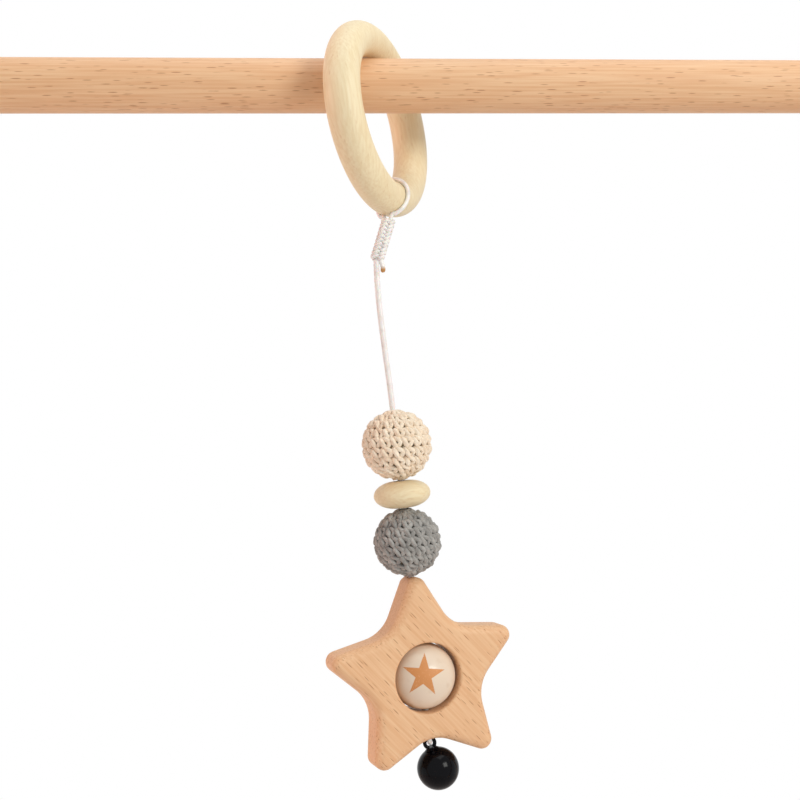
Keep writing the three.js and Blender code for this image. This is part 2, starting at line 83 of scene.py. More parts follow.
class Mesher:
    """The vertices and faces of one piece while it is being made."""

    def __init__(self) -> None:
        """Starts an empty piece."""
        self.points: list[Vector] = []
        self.faces: list[tuple[int, ...]] = []

    def loop(self, points: Sequence[Vector]) -> list[int]:
        """Adds points and returns their numbers.

        Args:
            points: the points, in order.

        Returns:
            The number of each.
        """
        start = len(self.points)
        self.points.extend(points)
        return list(range(start, len(self.points)))

    def level(self, points: Sequence[Vector], height: float, place: Matrix) -> list[int]:
        """Adds the points of a plane, at a height in a place, and returns their numbers."""
        return self.loop([place @ Vector((p.x, p.y, height)) for p in points])

    def bridge(self, lower: list[int], upper: list[int]) -> None:
        """Joins two closed loops of as many points, or a loop and a single point, with faces.

        Args:
            lower: the numbers of one loop's points.
            upper: the numbers of the other's.
        """
        count = max(len(lower), len(upper))
        for i in range(count):
            j = (i + 1) % count
            a, b = lower[i % len(lower)], lower[j % len(lower)]
            c, d = upper[j % len(upper)], upper[i % len(upper)]
            corners = tuple(dict.fromkeys((a, b, c, d)))
            if len(corners) > 2:
                self.faces.append(corners)

    def cap(self, loop: list[int], facing_back: bool = False) -> None:
        """Closes a loop with one face."""
        self.faces.append(tuple(reversed(loop)) if facing_back else tuple(loop))

    def stack(self, loops: Sequence[list[int]], capped: bool = False) -> None:
        """Joins each loop to the next, and closes both ends if asked.

        Args:
            loops: the numbers of each loop's points, in order.
            capped: whether both ends are closed.
        """
        for lower, upper in zip(loops, loops[1:]):
            self.bridge(lower, upper)
        if capped:
            self.cap(loops[0], facing_back=True)
            self.cap(loops[-1])

    def lathe(self, profile: Sequence[Pair], segments: int, place: Matrix) -> None:
        """Turns a profile of (radius, height) round Z. It runs up the outside.

        Args:
            profile: it starts and ends on the axis, or closes on itself.
            segments: how many steps go round.
            place: where the turned shape goes.
        """
        loops = [self.level(circle(radius, segments if radius else 1), height, place) for radius, height in profile]
        if profile[0][0] != 0:
            loops.append(loops[0])
        self.stack(loops)

    def rod(self, radius: float, low: float, high: float, segments: int, place: Matrix) -> None:
        """Adds a plain cylinder from one height to another."""
        self.lathe([(0.0, low), (radius, low), (radius, high), (0.0, high)], segments, place)

    def ball(self, radius: float, steps: int, segments: int, place: Matrix) -> None:
        """Adds a ball round the middle of a place.

        Args:
            radius: the ball's radius.
            steps: how many steps go from its lowest point to its highest.
            segments: how many steps go round.
            place: where its middle goes.
        """
        angles = [math.pi * (k / steps - 0.5) for k in range(steps + 1)]
        profile = [(radius * math.cos(a) * (0 < k < steps), radius * math.sin(a)) for k, a in enumerate(angles)]
        self.lathe(profile, segments, place)

    def tube(
        self,
        line: Sequence[Vector],
        radius: float | Sequence[float],
        sides: int,
        relief: Relief | None = None,
        closed: bool = False,
    ) -> None:
        """Adds a tube along a line.

        Args:
            line: the middle of the tube, point by point.
            radius: one radius, or one for each point.
            sides: how many points go round.
            relief: what is added to the radius, from the angle round and the distance along.
            closed: whether the tube's end meets its start.
        """
        loops = []
        along = 0.0
        for i, (point, (across, lift)) in enumerate(zip(line, carried_frames(line, closed))):
            along += (point - line[i - 1]).length if i else 0.0
            base = radius[i] if isinstance(radius, Sequence) else radius
            ring = []
            for k in range(sides):
                angle = 2 * math.pi * k / sides
                reach = base + (relief(angle, along) if relief else 0.0)
                ring.append(point + reach * (math.cos(angle) * across + math.sin(angle) * lift))
            loops.append(self.loop(ring))
        self.stack([*loops, loops[0]] if closed else loops, capped=not closed)

    def plate(self, outline: Sequence[Vector], thickness: float, rounding: float, place: Matrix) -> None:
        """Adds a plate with its edges rounded over.

        Args:
            outline: its corners, counter-clockwise, in its own plane.
            thickness: across the plate, which is centred on its plane.
            rounding: the radius of its edges.
            place: where the plate goes.
        """
        edge = edge_profile(thickness, rounding)
        self.stack([self.level(inset_outline(outline, inset), height, place) for inset, height in edge], capped=True)

    def piece(self, name: str, crease: float = 40.0) -> bpy.types.Object:
        """Makes the Blender object.

        Args:
            name: the piece's name.
            crease: edges that turn more than this many degrees stay sharp.

        Returns:
            The new object, in the scene.
        """
        mesh = bpy.data.meshes.new(name)
        mesh.from_pydata([tuple(p) for p in self.points], [], self.faces)
        mesh.polygons.foreach_set("use_smooth", [True] * len(mesh.polygons))
        mesh.set_sharp_from_angle(angle=math.radians(crease))
        mesh.update()
        made = bpy.data.objects.new(name, mesh)
        bpy.context.scene.collection.objects.link(made)
        return made


def carried_frames(line: Sequence[Vector], closed: bool) -> list[tuple[Vector, Vector]]:
    """Finds two directions square to a line at each point, turned as little as can be on the way.

    Args:
        line: the points.
        closed: whether the last point is followed by the first.

    Returns:
        The pair of directions for each point.
    """
    last, most_along = len(line) - 1, 0.9
    frames = []
    across = None
    for i, point in enumerate(line):
        before = line[i - 1] if i or closed else point
        after = line[(i + 1) % len(line)] if i < last or closed else point
        forward = (after - before).normalized()
        if across is None:
            guide = TO_BACK if abs(forward.dot(TO_BACK)) < most_along else ALONG_BAR
            across = forward.cross(guide)
        across = (across - forward * across.dot(forward)).normalized()
        frames.append((across, forward.cross(across)))
    return frames


def edge_profile(thickness: float, rounding: float, steps: int = 6) -> list[Pair]:
    """Gives the edge of a plate, from its back face to its front face.

    Args:
        thickness: across the plate.
        rounding: the radius of each edge.
        steps: how many steps each quarter turn has.

    Returns:
        How far the edge lies inside the outline, and its height, for each step.
    """
    quarter = [math.pi / 2 * k / steps for k in range(steps + 1)]
    back = [(rounding * (1 - math.sin(t)), rounding * (1 - math.cos(t)) - thickness / 2) for t in quarter]
    return back + [(inset, -height) for inset, height in reversed(back)]


def inset_outline(outline: Sequence[Vector], inset: float) -> list[Vector]:
    """Moves each corner of a counter-clockwise outline inwards by the same distance from its sides.

    Args:
        outline: the corners.
        inset: the distance.

    Returns:
        The moved corners.
    """
    moved = []
    for i, point in enumerate(outline):
        arriving = (point - outline[i - 1]).normalized()
        leaving = (outline[(i + 1) % len(outline)] - point).normalized()
        inwards = Vector((-arriving.y - leaving.y, arriving.x + leaving.x)).normalized()
        straight = inwards.dot(Vector((-arriving.y, arriving.x)))
        moved.append(point + inwards * (inset / straight))
    return moved


def arc(centre: Vector, radius: float, start: float, end: float, steps: int) -> list[Vector]:
    """Points on an arc in a plane, from one angle to another."""
    angles = [start + (end - start) * i / steps for i in range(steps + 1)]
    return [centre + radius * Vector((math.cos(a), math.sin(a))) for a in angles]


def circle(radius: float, count: int) -> list[Vector]:
    """Points all round a circle in a plane."""
    turns = [2 * math.pi * i / count for i in range(count)]
    return [Vector((radius * math.cos(t), radius * math.sin(t))) for t in turns]


def on_curve(values: Sequence, i: int, t: float) -> float | Vector:
    """Reads a smooth curve through values.

    Args:
        values: the numbers or points that it passes through.
        i: the number of the value before the place that is read.
        t: the share of the way from there to the next value.

    Returns:
        The number or the point there.
    """
    before, here, after, beyond = (values[min(max(j, 0), len(values) - 1)] for j in range(i - 1, i + 3))
    forward, back = (after - before) / 2, (beyond - here) / 2
    return (
        (2 * t**3 - 3 * t**2 + 1) * here
        + (t**3 - 2 * t**2 + t) * forward
        + (3 * t**2 - 2 * t**3) * after
        + (t**3 - t**2) * back
    )


def smooth_line(corners: Sequence[Vector], steps: int) -> list[Vector]:
    """Draws a smooth line through points, in so many steps from each to the next."""
    line = [on_curve(corners, i, k / steps) for i in range(len(corners) - 1) for k in range(steps)]
    return [*line, corners[-1]]


def even_line(line: Sequence[Vector], step: float) -> list[Vector]:
    """Spaces points evenly along a line.

    Args:
        line: the line's own points.
        step: about how far apart the new points are.

    Returns:
        The new points, with the same two ends.
    """
    lengths = [0.0]
    for a, b in zip(line, line[1:]):
        lengths.append(lengths[-1] + (b - a).length)
    count = max(2, round(lengths[-1] / step))
    spaced = []
    i = 0
    for k in range(count + 1):
        wanted = lengths[-1] * k / count
        while i < len(line) - 2 and lengths[i + 1] < wanted:
            i += 1
        share = (wanted - lengths[i]) / (lengths[i + 1] - lengths[i])
        spaced.append(line[i].lerp(line[i + 1], min(share, 1.0)))
    return spaced


def standing(origin: Vector, rise: Vector, lean_to: Vector = TO_BACK) -> Matrix:
    """A place whose Z is a given direction and whose Y is as near as can be to another.

    Args:
        origin: where the place lies.
        rise: the direction of its Z.
        lean_to: the direction that its Y comes near to.

    Returns:
        The place.
    """
    z = rise.normalized()
    y = (lean_to - z * lean_to.dot(z)).normalized()
    x = y.cross(z)
    return Matrix.Translation(origin) @ Matrix((x, y, z)).transposed().to_4x4()


def carve(piece: bpy.types.Object, cutter: Mesher) -> None:
    """Cuts one closed shape out of a piece.

    Args:
        piece: what is cut.
        cutter: the closed shape.
    """
    tool = cutter.piece("cutter")
    modifier = piece.modifiers.new("carve", "BOOLEAN")
    modifier.operation = "DIFFERENCE"
    modifier.solver = "EXACT"
    modifier.object = tool
    bpy.context.view_layer.objects.active = piece
    bpy.ops.object.modifier_apply(modifier=modifier.name)
    bpy.data.objects.remove(tool)


def even_shading(piece: bpy.types.Object) -> None:
    """Keeps the flat faces of a rounded board looking flat.

    Args:
        piece: the board.
    """
    modifier = piece.modifiers.new("even shading", "WEIGHTED_NORMAL")
    modifier.keep_sharp = True
    modifier.weight = 100


def joint(name: str) -> tuple[Vector, Vector]:
    """The place and the axis of one of the gym's joints."""
    found = next(j for j in frame["joints"] if j["name"] == name)
    return Vector(found["pos_m"]), Vector(found["axis"]).normalized()


class Nodes:
    """A tree of nodes, with short calls that add to it."""

    def __init__(self, tree: bpy.types.NodeTree) -> None:
        """Takes a tree."""
        self.tree = tree

    def node(self, kind: str, inputs: dict | None = None, **settings: object) -> bpy.types.Node:
        """Adds a node.

        Args:
            kind: Blender's name for it.
            inputs: a value or another node's socket for each input.
            settings: the node's own properties.

        Returns:
            The new node.
        """
        made = self.tree.nodes.new(kind)
        for key, value in settings.items():
            setattr(made, key, value)
        for key, value in (inputs or {}).items():
            self.set(made, key, value)
        return made

    def set(self, node: bpy.types.Node, key: str | int, value: object) -> None:
        """Gives an input a value, or joins it to another node's socket.

        Args:
            node: the node.
            key: the input's name or number.
            value: a value, or another node's socket.
        """
        if isinstance(value, bpy.types.NodeSocket):
            self.tree.links.new(value, node.inputs[key])
        else:
            node.inputs[key].default_value = value


class Graph(Nodes):
    """The shader of one finish."""

    def __init__(self, name: str) -> None:
        """Starts a material that holds only its output and its surface.

        Args:
            name: the material's name.
        """
        self.material = bpy.data.materials.new(name)
        self.material.use_nodes = True
        super().__init__(self.material.node_tree)
        self.surface = self.tree.nodes["Principled BSDF"]
        self.place = self.node("ShaderNodeTexCoord").outputs["Object"]

    def stretched(self, grain: Vector, length: float, width: float) -> bpy.types.NodeSocket:
        """Turns the object's own coordinates so that X lies along a direction, in units of a cell's size.

        Args:
            grain: the direction.
            length: a cell's size along it.
            width: a cell's size across it.

        Returns:
            The socket with the coordinates.
        """
        scale = (1 / length, 1 / width, 1 / width)
        turn = grain.rotation_difference(ALONG_BAR).to_euler()
        turned = self.node("ShaderNodeMapping", {"Vector": self.place, "Rotation": turn})
        scaled = self.node("ShaderNodeMapping", {"Vector": turned.outputs[0], "Scale": scale})
        return scaled.outputs[0]

    def fine(self, size: float, detail: float = 3.0) -> bpy.types.NodeSocket:
        """Adds an even noise with features of about one size."""
        return self.noise(self.place, 1 / size, detail)

    def noise(self, where: bpy.types.NodeSocket, scale: float = 1.0, detail: float = 3.0) -> bpy.types.NodeSocket:
        """Adds a noise of about one feature for each unit over its scale."""
        inputs = {"Vector": where, "Scale": scale, "Detail": detail}
        return self.node("ShaderNodeTexNoise", inputs).outputs[0]

    def between(self, value: bpy.types.NodeSocket, low: float, high: float) -> bpy.types.NodeSocket:
        """A smooth step from 0 at one value to 1 at another."""
        inputs = {"Value": value, "From Min": low, "From Max": high}
        return self.node("ShaderNodeMapRange", inputs, interpolation_type="SMOOTHSTEP").outputs[0]

    def times(self, a: bpy.types.NodeSocket, b: bpy.types.NodeSocket | float) -> bpy.types.NodeSocket:
        """One value times another."""
        return self.node("ShaderNodeMath", {0: a, 1: b}, operation="MULTIPLY").outputs[0]

    def mixed(self, share: bpy.types.NodeSocket, under: object, over: object) -> bpy.types.NodeSocket:
        """One colour turning into another.

        Args:
            share: how much of the second colour there is.
            under: the first colour.
            over: the second colour.

        Returns:
            The socket with the colour.
        """
        made = self.node("ShaderNodeMix", data_type="RGBA")
        self.set(made, 0, share)
        self.set(made, 6, under)
        self.set(made, 7, over)
        return made.outputs[2]

    def bumped(self, height: bpy.types.NodeSocket, depth: float) -> None:
        """Gives the surface a relief of a given depth."""
        made = self.node("ShaderNodeBump", {"Height": height, "Distance": depth, "Strength": 1.0})
        self.set(self.surface, "Normal", made.outputs[0])

    def finish(self, **inputs: object) -> bpy.types.Material:
        """Sets the surface's inputs, with underscores for their spaces, and returns the material.

        Args:
            inputs: a value or a socket for each input.

        Returns:
            The material.
        """
        for key, value in inputs.items():
            self.set(self.surface, key.replace("_", " "), value)
        return self.material


@dataclass(frozen=True)
class Wood:
    """Sanded hardwood, with streaks along the grain and short flecks where the rays are cut.

    A size is a length along the grain and a width across it. A range says between which values a noise fades in.
    """

    light: int
    dark: int
    fleck: int
    fleck_depth: float
    fleck_size: Pair = (7 * MM, 1.7 * MM)
    roughness: float = 0.5
    specular: float = 0.35
    fleck_range: Pair = (0.4, 0.26)
    fleck_wobble: float = 0.3
    streak_size: Pair = (30 * MM, 0.8 * MM)
    streak_range: Pair = (0.3, 0.7)
    figure_size: Pair = (60 * MM, 7 * MM)
    figure_range: Pair = (0.35, 0.75)
    figure_depth: float = 0.45
    patch_size: Pair = (50 / 3 * MM, 6.25 * MM)
    patch_range: Pair = (0.3, 0.45)
    pore_size: Pair = (2.5 * MM, 0.16 * MM)
    pore_depth: float = 0.05 * MM

    def material(self, name: str, grain: Vector) -> bpy.types.Material:
        """Makes the wood with its grain along a direction.

        Args:
            name: the material's name.
            grain: the direction, in the frame of the gym.

        Returns:
            The material.
        """
        graph = Graph(name)
        streaks = graph.between(graph.noise(graph.stretched(grain, *self.streak_size)), *self.streak_range)
        figure = graph.noise(graph.stretched(grain, *self.figure_size), detail=2)
        tone = graph.mixed(streaks, linear(self.light), linear(self.dark))
        shading = graph.times(graph.between(figure, *self.figure_range), self.figure_depth)
        shaded = graph.mixed(shading, tone, linear(self.dark))
        cells = graph.stretched(grain, *self.fleck_size)
        wobble = graph.noise(cells, scale=2.0, detail=1.0)
        spots = graph.node("ShaderNodeTexVoronoi", {"Vector": cells, "Scale": 1.0, "Randomness": 1.0})
        distance = {0: spots.outputs["Distance"], 1: graph.times(wobble, self.fleck_wobble)}
        near = graph.node("ShaderNodeMath", distance, operation="ADD").outputs[0]
        patches = graph.between(graph.noise(graph.stretched(grain, *self.patch_size)), *self.patch_range)
        share = graph.times(graph.times(graph.between(near, *self.fleck_range), patches), self.fleck_depth)
        graph.bumped(graph.noise(graph.stretched(grain, *self.pore_size)), self.pore_depth)
        return graph.finish(
            Base_Color=graph.mixed(share, shaded, linear(self.fleck)),
            Roughness=self.roughness,
            Specular_IOR_Level=self.specular,
        )


@dataclass(frozen=True)
class Braid:
    """A smooth synthetic lace. Its plait is in the mesh, and this gives its sheen and its fine threads."""

    thread: int
    shade: int
    roughness: float = 0.38
    shade_size: float = 2.5 * MM
    shade_range: Pair = (0.35, 0.75)
    thread_size: float = 0.2 * MM
    thread_depth: float = 0.02 * MM
    sheen: float = 0.2
    glow: float = 0.15
    glow_depth: float = 0.5 * MM
    drop_size: float = 2 / 3 * MM
    drop_depth: float = 0.1 * MM
    melted_roughness: float = 0.3

    def material(self, name: str) -> bpy.types.Material:
        """Makes the lace's material.

        Args:
            name: the material's name.

        Returns:
            The material.
        """
        graph = Graph(name)
        uneven = graph.between(graph.fine(self.shade_size), *self.shade_range)
        graph.bumped(graph.fine(self.thread_size, detail=2.0), self.thread_depth)
        return graph.finish(
            Base_Color=graph.mixed(uneven, linear(self.thread), linear(self.shade)),
            Roughness=self.roughness,
            Sheen_Weight=self.sheen,
            Subsurface_Weight=self.glow,
            Subsurface_Scale=self.glow_depth,
        )

    def singed(self, name: str, burnt: int, clean_height: float, burnt_height: float) -> bpy.types.Material:
        """Makes the lace where its end was melted.

        Args:
            name: the material's name.
            burnt: the colour at the melted end.
            clean_height: the height at which it is still clean.
            burnt_height: the height at which it is fully burnt.

        Returns:
            The material.
        """
        graph = Graph(name)
        height = graph.node("ShaderNodeSeparateXYZ", {0: graph.place}).outputs[2]
        share = graph.between(height, clean_height, burnt_height)
        graph.bumped(graph.fine(self.drop_size), self.drop_depth)
        colour = graph.mixed(share, linear(self.thread), linear(burnt))
        return graph.finish(Base_Color=colour, Roughness=self.melted_roughness)


@dataclass(frozen=True)
class Yarn:
    """Soft cotton yarn. Its plies are in the mesh, and this gives its fuzz and its uneven dye."""

    light: int
    dark: int
    sheen: float
    dye_size: float = 50 / 13 * MM
    dye_range: Pair = (0.3, 0.7)
    fibre_size: float = 5 / 13 * MM
    fibre_range: Pair = (0.45, 0.75)
    fibre_share: float = 0.5
    fibre_depth: float = 0.2 * MM
    roughness: float = 0.92
    sheen_roughness: float = 0.5
    specular: float = 0.2

    def material(self, name: str) -> bpy.types.Material:
        """Makes the yarn's material.

        Args:
            name: the material's name.

        Returns:
            The material.
        """
        graph = Graph(name)
        dye = graph.between(graph.fine(self.dye_size), *self.dye_range)
        fibres = graph.fine(self.fibre_size, detail=4.0)
        speckle = graph.times(graph.between(fibres, *self.fibre_range), self.fibre_share)
        tone = graph.mixed(dye, linear(self.light), linear(self.dark))
        graph.bumped(fibres, self.fibre_depth)
        return graph.finish(
            Base_Color=graph.mixed(speckle, tone, linear(self.light)),
            Roughness=self.roughness,
            Sheen_Weight=self.sheen,
            Sheen_Roughness=self.sheen_roughness,
            Specular_IOR_Level=self.specular,
        )


@dataclass(frozen=True)
class Coating:
    """A hard finish that covers what is under it: enamel, varnish, plating or print."""

    colour: int
    worn: int
    roughness: float
    metallic: float = 0.0
    coat: float = 0.0
    specular: float = 0.5
    wear_size: float = 0.8 * MM
    wear_range: Pair = (0.55, 0.85)
    ripple_size: float = 10 / 9 * MM
    ripple_depth: float = 0.004 * MM
    coat_roughness: float = 0.04

    def material(self, name: str) -> bpy.types.Material:
        """Makes the coating's material.

        Args:
            name: the material's name.

        Returns:
            The material.
        """
        graph = Graph(name)
        wear = graph.between(graph.fine(self.wear_size, detail=4.0), *self.wear_range)
        graph.bumped(graph.fine(self.ripple_size, detail=1.0), self.ripple_depth)
        return graph.finish(
            Base_Color=graph.mixed(wear, linear(self.colour), linear(self.worn)),
            Roughness=self.roughness,
            Metallic=self.metallic,
            Specular_IOR_Level=self.specular,
            Coat_Weight=self.coat,
            Coat_Roughness=self.coat_roughness,
        )


@dataclass(frozen=True)
class Moulding:
    """Plain moulded nylon or rubber with a fine matt texture."""

    colour: int
    shade: int
    roughness: float
    grain_size: float = 0.4 * MM
    grain_range: Pair = (0.3, 0.8)
    grain_depth: float = 0.04 * MM

    def material(self, name: str) -> bpy.types.Material:
        """Makes the moulding's material.

        Args:
            name: the material's name.

        Returns:
            The material.
        """
        graph = Graph(name)
        grain = graph.fine(self.grain_size)
        graph.bumped(grain, self.grain_depth)
        mottled = graph.mixed(graph.between(grain, *self.grain_range), linear(self.colour), linear(self.shade))
        return graph.finish(Base_Color=mottled, Roughness=self.roughness)


BEECH = Wood(0xEBC299, 0xE0AF84, 0xA86E48, fleck_depth=0.7, fleck_size=(8 * MM, 0.8 * MM))
MAPLE = Wood(0xEEDFBC, 0xE6D2AA, 0xD3AE82, fleck_depth=0.3, fleck_size=(7 * MM, 1.2 * MM), roughness=0.45)
LACE = Braid(thread=0xF3F0EE, shade=0xE4DFDC)
CREAM_YARN = Yarn(light=0xFBEEDA, dark=0xF0DAC0, sheen=0.3)
GREY_YARN = Yarn(light=0xB3B1AD, dark=0x8E8C89, sheen=0.2)
PALE_VARNISH = Coating(colour=0xE4D1BC, worn=0xDAC3AB, roughness=0.4, coat=0.2, wear_size=4 * MM)
PRINT = Coating(colour=0xD08C52, worn=0xE0A774, roughness=0.55, wear_size=0.7 * MM)
BLACK_ENAMEL = Coating(colour=0x07070B, worn=0x0B0B10, roughness=0.14, specular=0.1)
STEEL = Coating(colour=0xB9BCC0, worn=0x9A9DA2, roughness=0.3, metallic=1.0)
NYLON = Moulding(colour=0xE9E6DE, shade=0xDBD7CC, roughness=0.5)
RUBBER = Moulding(colour=0xCFC7B8, shade=0xBEB5A4, roughness=0.8)


class Slot(Enum):
    """The record's material slots."""

    BEECH = "beech"
    MAPLE = "maple"
    LACE = "lace"
    SINGED = "singed_lace"
    CREAM = "cream_yarn"
    GREY = "grey_yarn"
    PALE = "pale_bead"
    ENAMEL = "black_enamel"
    STEEL = "steel"
    NYLON = "nylon"
    RUBBER = "rubber"


def settle(piece: bpy.types.Object, material: bpy.types.Material, body: str, slot: Slot, *nodes: str) -> None:
    """Gives a piece its material and its body, hides the solids that it replaces, and reports it.

    Args:
        piece: the finished object.
        material: its finish.
        body: the body that it moves with.
        slot: not used.
        nodes: the solids that it replaces.
    """
    piece.data.materials.clear()
    piece.data.materials.append(material)
    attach(piece, body)
    if nodes:
        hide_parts(*nodes)
    LOG.info("%s rides on %s", piece.name, body)


def repaint(node: str, material: bpy.types.Material) -> None:
    """Gives a solid that stays in view its own material.

    Args:
        node: the solid's node.
        material: its finish.
    """
    solid = frame["nodes"][node]
    solid.data.materials.clear()
    solid.data.materials.append(material)
    LOG.info("%s is repainted", node)


@dataclass
class Crossbar:
    """The round bar, with a socket in each end for a threaded insert."""

    end_rounding: float = 1.2 * MM
    socket_diameter: float = 10.6 * MM
    socket_depth: float = 18.3 * MM
    segments: int = 96

    def build(self) -> None:
        """Turns the bar on its own length and diameter."""
        low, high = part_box("crossbar")
        radius = (high.z - low.z) / 2
        half = (high.x - low.x) / 2
        socket = self.socket_diameter / 2
        centre = Vector((radius - self.end_rounding, half - self.end_rounding))
        shoulder = [(p.x, p.y) for p in arc(centre, self.end_rounding, 0, math.pi / 2, steps=6)]
        upper = [*shoulder, (socket, half), (socket, half - self.socket_depth), (0.0, half - self.socket_depth)]
        lower = [(r, -h) for r, h in reversed(upper)]
        shape = Mesher()
        shape.lathe([*lower, *upper], self.segments, standing((low + high) / 2, ALONG_BAR))
        bar = shape.piece("beech_crossbar")
        settle(bar, BEECH.material("beech of the bar", ALONG_BAR), "frame", Slot.BEECH, "crossbar")


class Side(StrEnum):
    """The two ends of the bar, in the words that their pieces are named with."""

    LEFT = "left"
    RIGHT = "right"


class Leg(Enum):
    """The two legs on one end of the bar, and which way each one leans."""

    OUTER = 1
    INNER = -1


@dataclass
class EndFrame:
    """The two legs at one end of the bar, with their feet, the stop block and what bolts them on."""

    side: Side
    width: float = 32 * MM
    spread: float = math.radians(24)
    edge_rounding: float = 2.6 * MM
    outer_head: float = 40 * MM
    outer_head_rounding: float = 11 * MM
    bolt_hole: float = 7 * MM
    shaft_radius: float = 3 * MM
    shaft_chamfer: float = 0.6 * MM
    ring_hole: float = 6.6 * MM
    ring_rounding: float = 0.25 * MM
    foot_gap: float = 0.3 * MM
    foot_rounding: float = 1.6 * MM
    foot_ribs: int = 7
    foot_rib_depth: float = 0.5 * MM
    block_rounding: float = 1.2 * MM
    fit: float = 0.3 * MM
    head_dome: float = 0.5 * MM
    head_chamfer: float = 0.9 * MM
    socket_across_flats: float = 4 * MM
    socket_depth: float = 2 * MM
    segments: int = 64

    def __post_init__(self) -> None:
        """Finds the bolt's line and which way is outwards."""
        low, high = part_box("crossbar")
        self.bolt_height = (low.z + high.z) / 2
        self.outwards = 1 if self.side is Side.RIGHT else -1

    def body(self, leg: Leg) -> str:
        """The body that a leg moves with."""
        return "frame" if leg is Leg.OUTER else f"{self.side}_folding_leg"

    def on_leg(self, leg: Leg, across: float, up: float) -> Vector:
        """A point at a distance across a leg and up it from the bolt, across and above the bolt."""
        sine, cosine = math.sin(self.spread), math.cos(self.spread)
        return Vector((leg.value * (across * cosine - up * sine), across * sine + up * cosine))

    def head(self, leg: Leg, up: float, rounding: float) -> list[Vector]:
        """The rounded top of a leg, from its rear edge to its front edge.

        Args:
            leg: which leg.
            up: how far its top lies above the bolt.
            rounding: the radius of its corners.

        Returns:
            The points, across and above the bolt.
        """
        across = self.width / 2 - rounding
        quarter, steps = math.pi / 2, 14
        rear = arc(Vector((across, up - rounding)), rounding, 0, quarter, steps)
        front = arc(Vector((-across, up - rounding)), rounding, quarter, 2 * quarter, steps)
        if across == 0:
            rear.pop()
        return [self.on_leg(leg, p.x, p.y) for p in (*rear, *front)]

    def floor_corner(self, leg: Leg, across: float) -> Vector:
        """Where an edge of a leg meets the top of its foot.

        Args:
            leg: which leg.
            across: how far the edge lies from the middle of the leg.

        Returns:
            The point, across and above the bolt.
        """
        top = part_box(f"{self.side}_outer_foot")[1].z + self.foot_gap - self.bolt_height
        edge = self.on_leg(leg, across, 0)
        down = self.on_leg(leg, 0, -1)
        return edge + down * ((top - edge.y) / down.y)

    def place(self, node: str) -> tuple[Matrix, float]:
        """The plane across the bar in the middle of a node, and the node's thickness along the bar.

        Args:
            node: the node.

        Returns:
            The plane, and the thickness.
        """
        low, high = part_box(node)
        middle = Vector(((low.x + high.x) / 2, 0, self.bolt_height))
        turn = Matrix((TO_BACK, UP, ALONG_BAR)).transposed().to_4x4()
        return Matrix.Translation(middle) @ turn, high.x - low.x

    def build_leg(self, leg: Leg) -> None:
        """Builds one leg, bored for its bolt.

        Args:
            leg: which leg.
        """
        node = f"{self.side}_{leg.name.lower()}_leg"
        if leg is Leg.OUTER:
            head = self.head(leg, self.outer_head, self.outer_head_rounding)
        else:
            head = self.head(leg, self.width / 2, self.width / 2)
        half = self.width / 2
        outline = [self.floor_corner(leg, -half), self.floor_corner(leg, half), *head]
        place, thickness = self.place(node)
        shape = Mesher()
        shape.plate(outline if leg is Leg.OUTER else outline[::-1], thickness, self.edge_rounding, place)
        board = shape.piece(f"{node}_board")
        self.bore(board, place)
        even_shading(board)
        down = self.on_leg(leg, 0, -1)
        grain = Vector((0, down.x, down.y))
        settle(board, BEECH.material(f"beech of the {node}", grain), self.body(leg), Slot.BEECH, node)

    def bore(self, board: bpy.types.Object, place: Matrix) -> None:
        """Bores a board for the bolt.

        Args:
            board: what is bored.
            place: the plane across the bar in the middle of the board.
        """
        drill = Mesher()
        drill.rod(self.bolt_hole / 2, -self.width, self.width, self.segments, place)
        carve(board, drill)

    def build_foot(self, leg: Leg) -> None:
        """Builds a rubber foot, with fine ribs along its sides.

        Args:
            leg: the leg that it is on.
        """
        node = f"{self.side}_{leg.name.lower()}_foot"
        low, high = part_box(node)
        centre, size, rounding = (low + high) / 2, high - low, self.foot_rounding
        quarter, steps = math.pi / 2, 6
        outline = []
        for k, (x, y) in enumerate(((1, 1), (-1, 1), (-1, -1), (1, -1))):
            middle = Vector((x * (size.x / 2 - rounding), y * (size.y / 2 - rounding)))
            outline += arc(middle, rounding, k * quarter, (k + 1) * quarter, steps)
        shape = Mesher()
        side = self.foot_profile(size.z, rounding / 2, 4 * self.foot_ribs)
        place = Matrix.Translation(centre)
        shape.stack([shape.level(inset_outline(outline, inset), at, place) for inset, at in side], capped=True)
        foot = shape.piece(f"{node}_rubber")
        settle(foot, RUBBER.material(f"rubber of the {node}"), self.body(leg), Slot.RUBBER, node)

    def foot_profile(self, height: float, rounding: float, steps: int) -> list[Pair]:
        """The side of a foot, from the floor up.

        Args:
            height: the foot's height.
            rounding: the radius of its upper and lower edges.
            steps: how many steps its ribs have.

        Returns:
            How far it lies inside its outline, and its height, for each step.
        """
        ends = edge_profile(height, rounding)
        middle = len(ends) // 2
        low, high = ends[middle - 1][1], ends[middle][1]
        ribs = []
        for k in range(1, steps):
            wave = (1 - math.cos(2 * math.pi * self.foot_ribs * k / steps)) / 2
            ribs.append((self.foot_rib_depth * wave, low + (high - low) * k / steps))
        return [*ends[:middle], *ribs, *ends[middle:]]

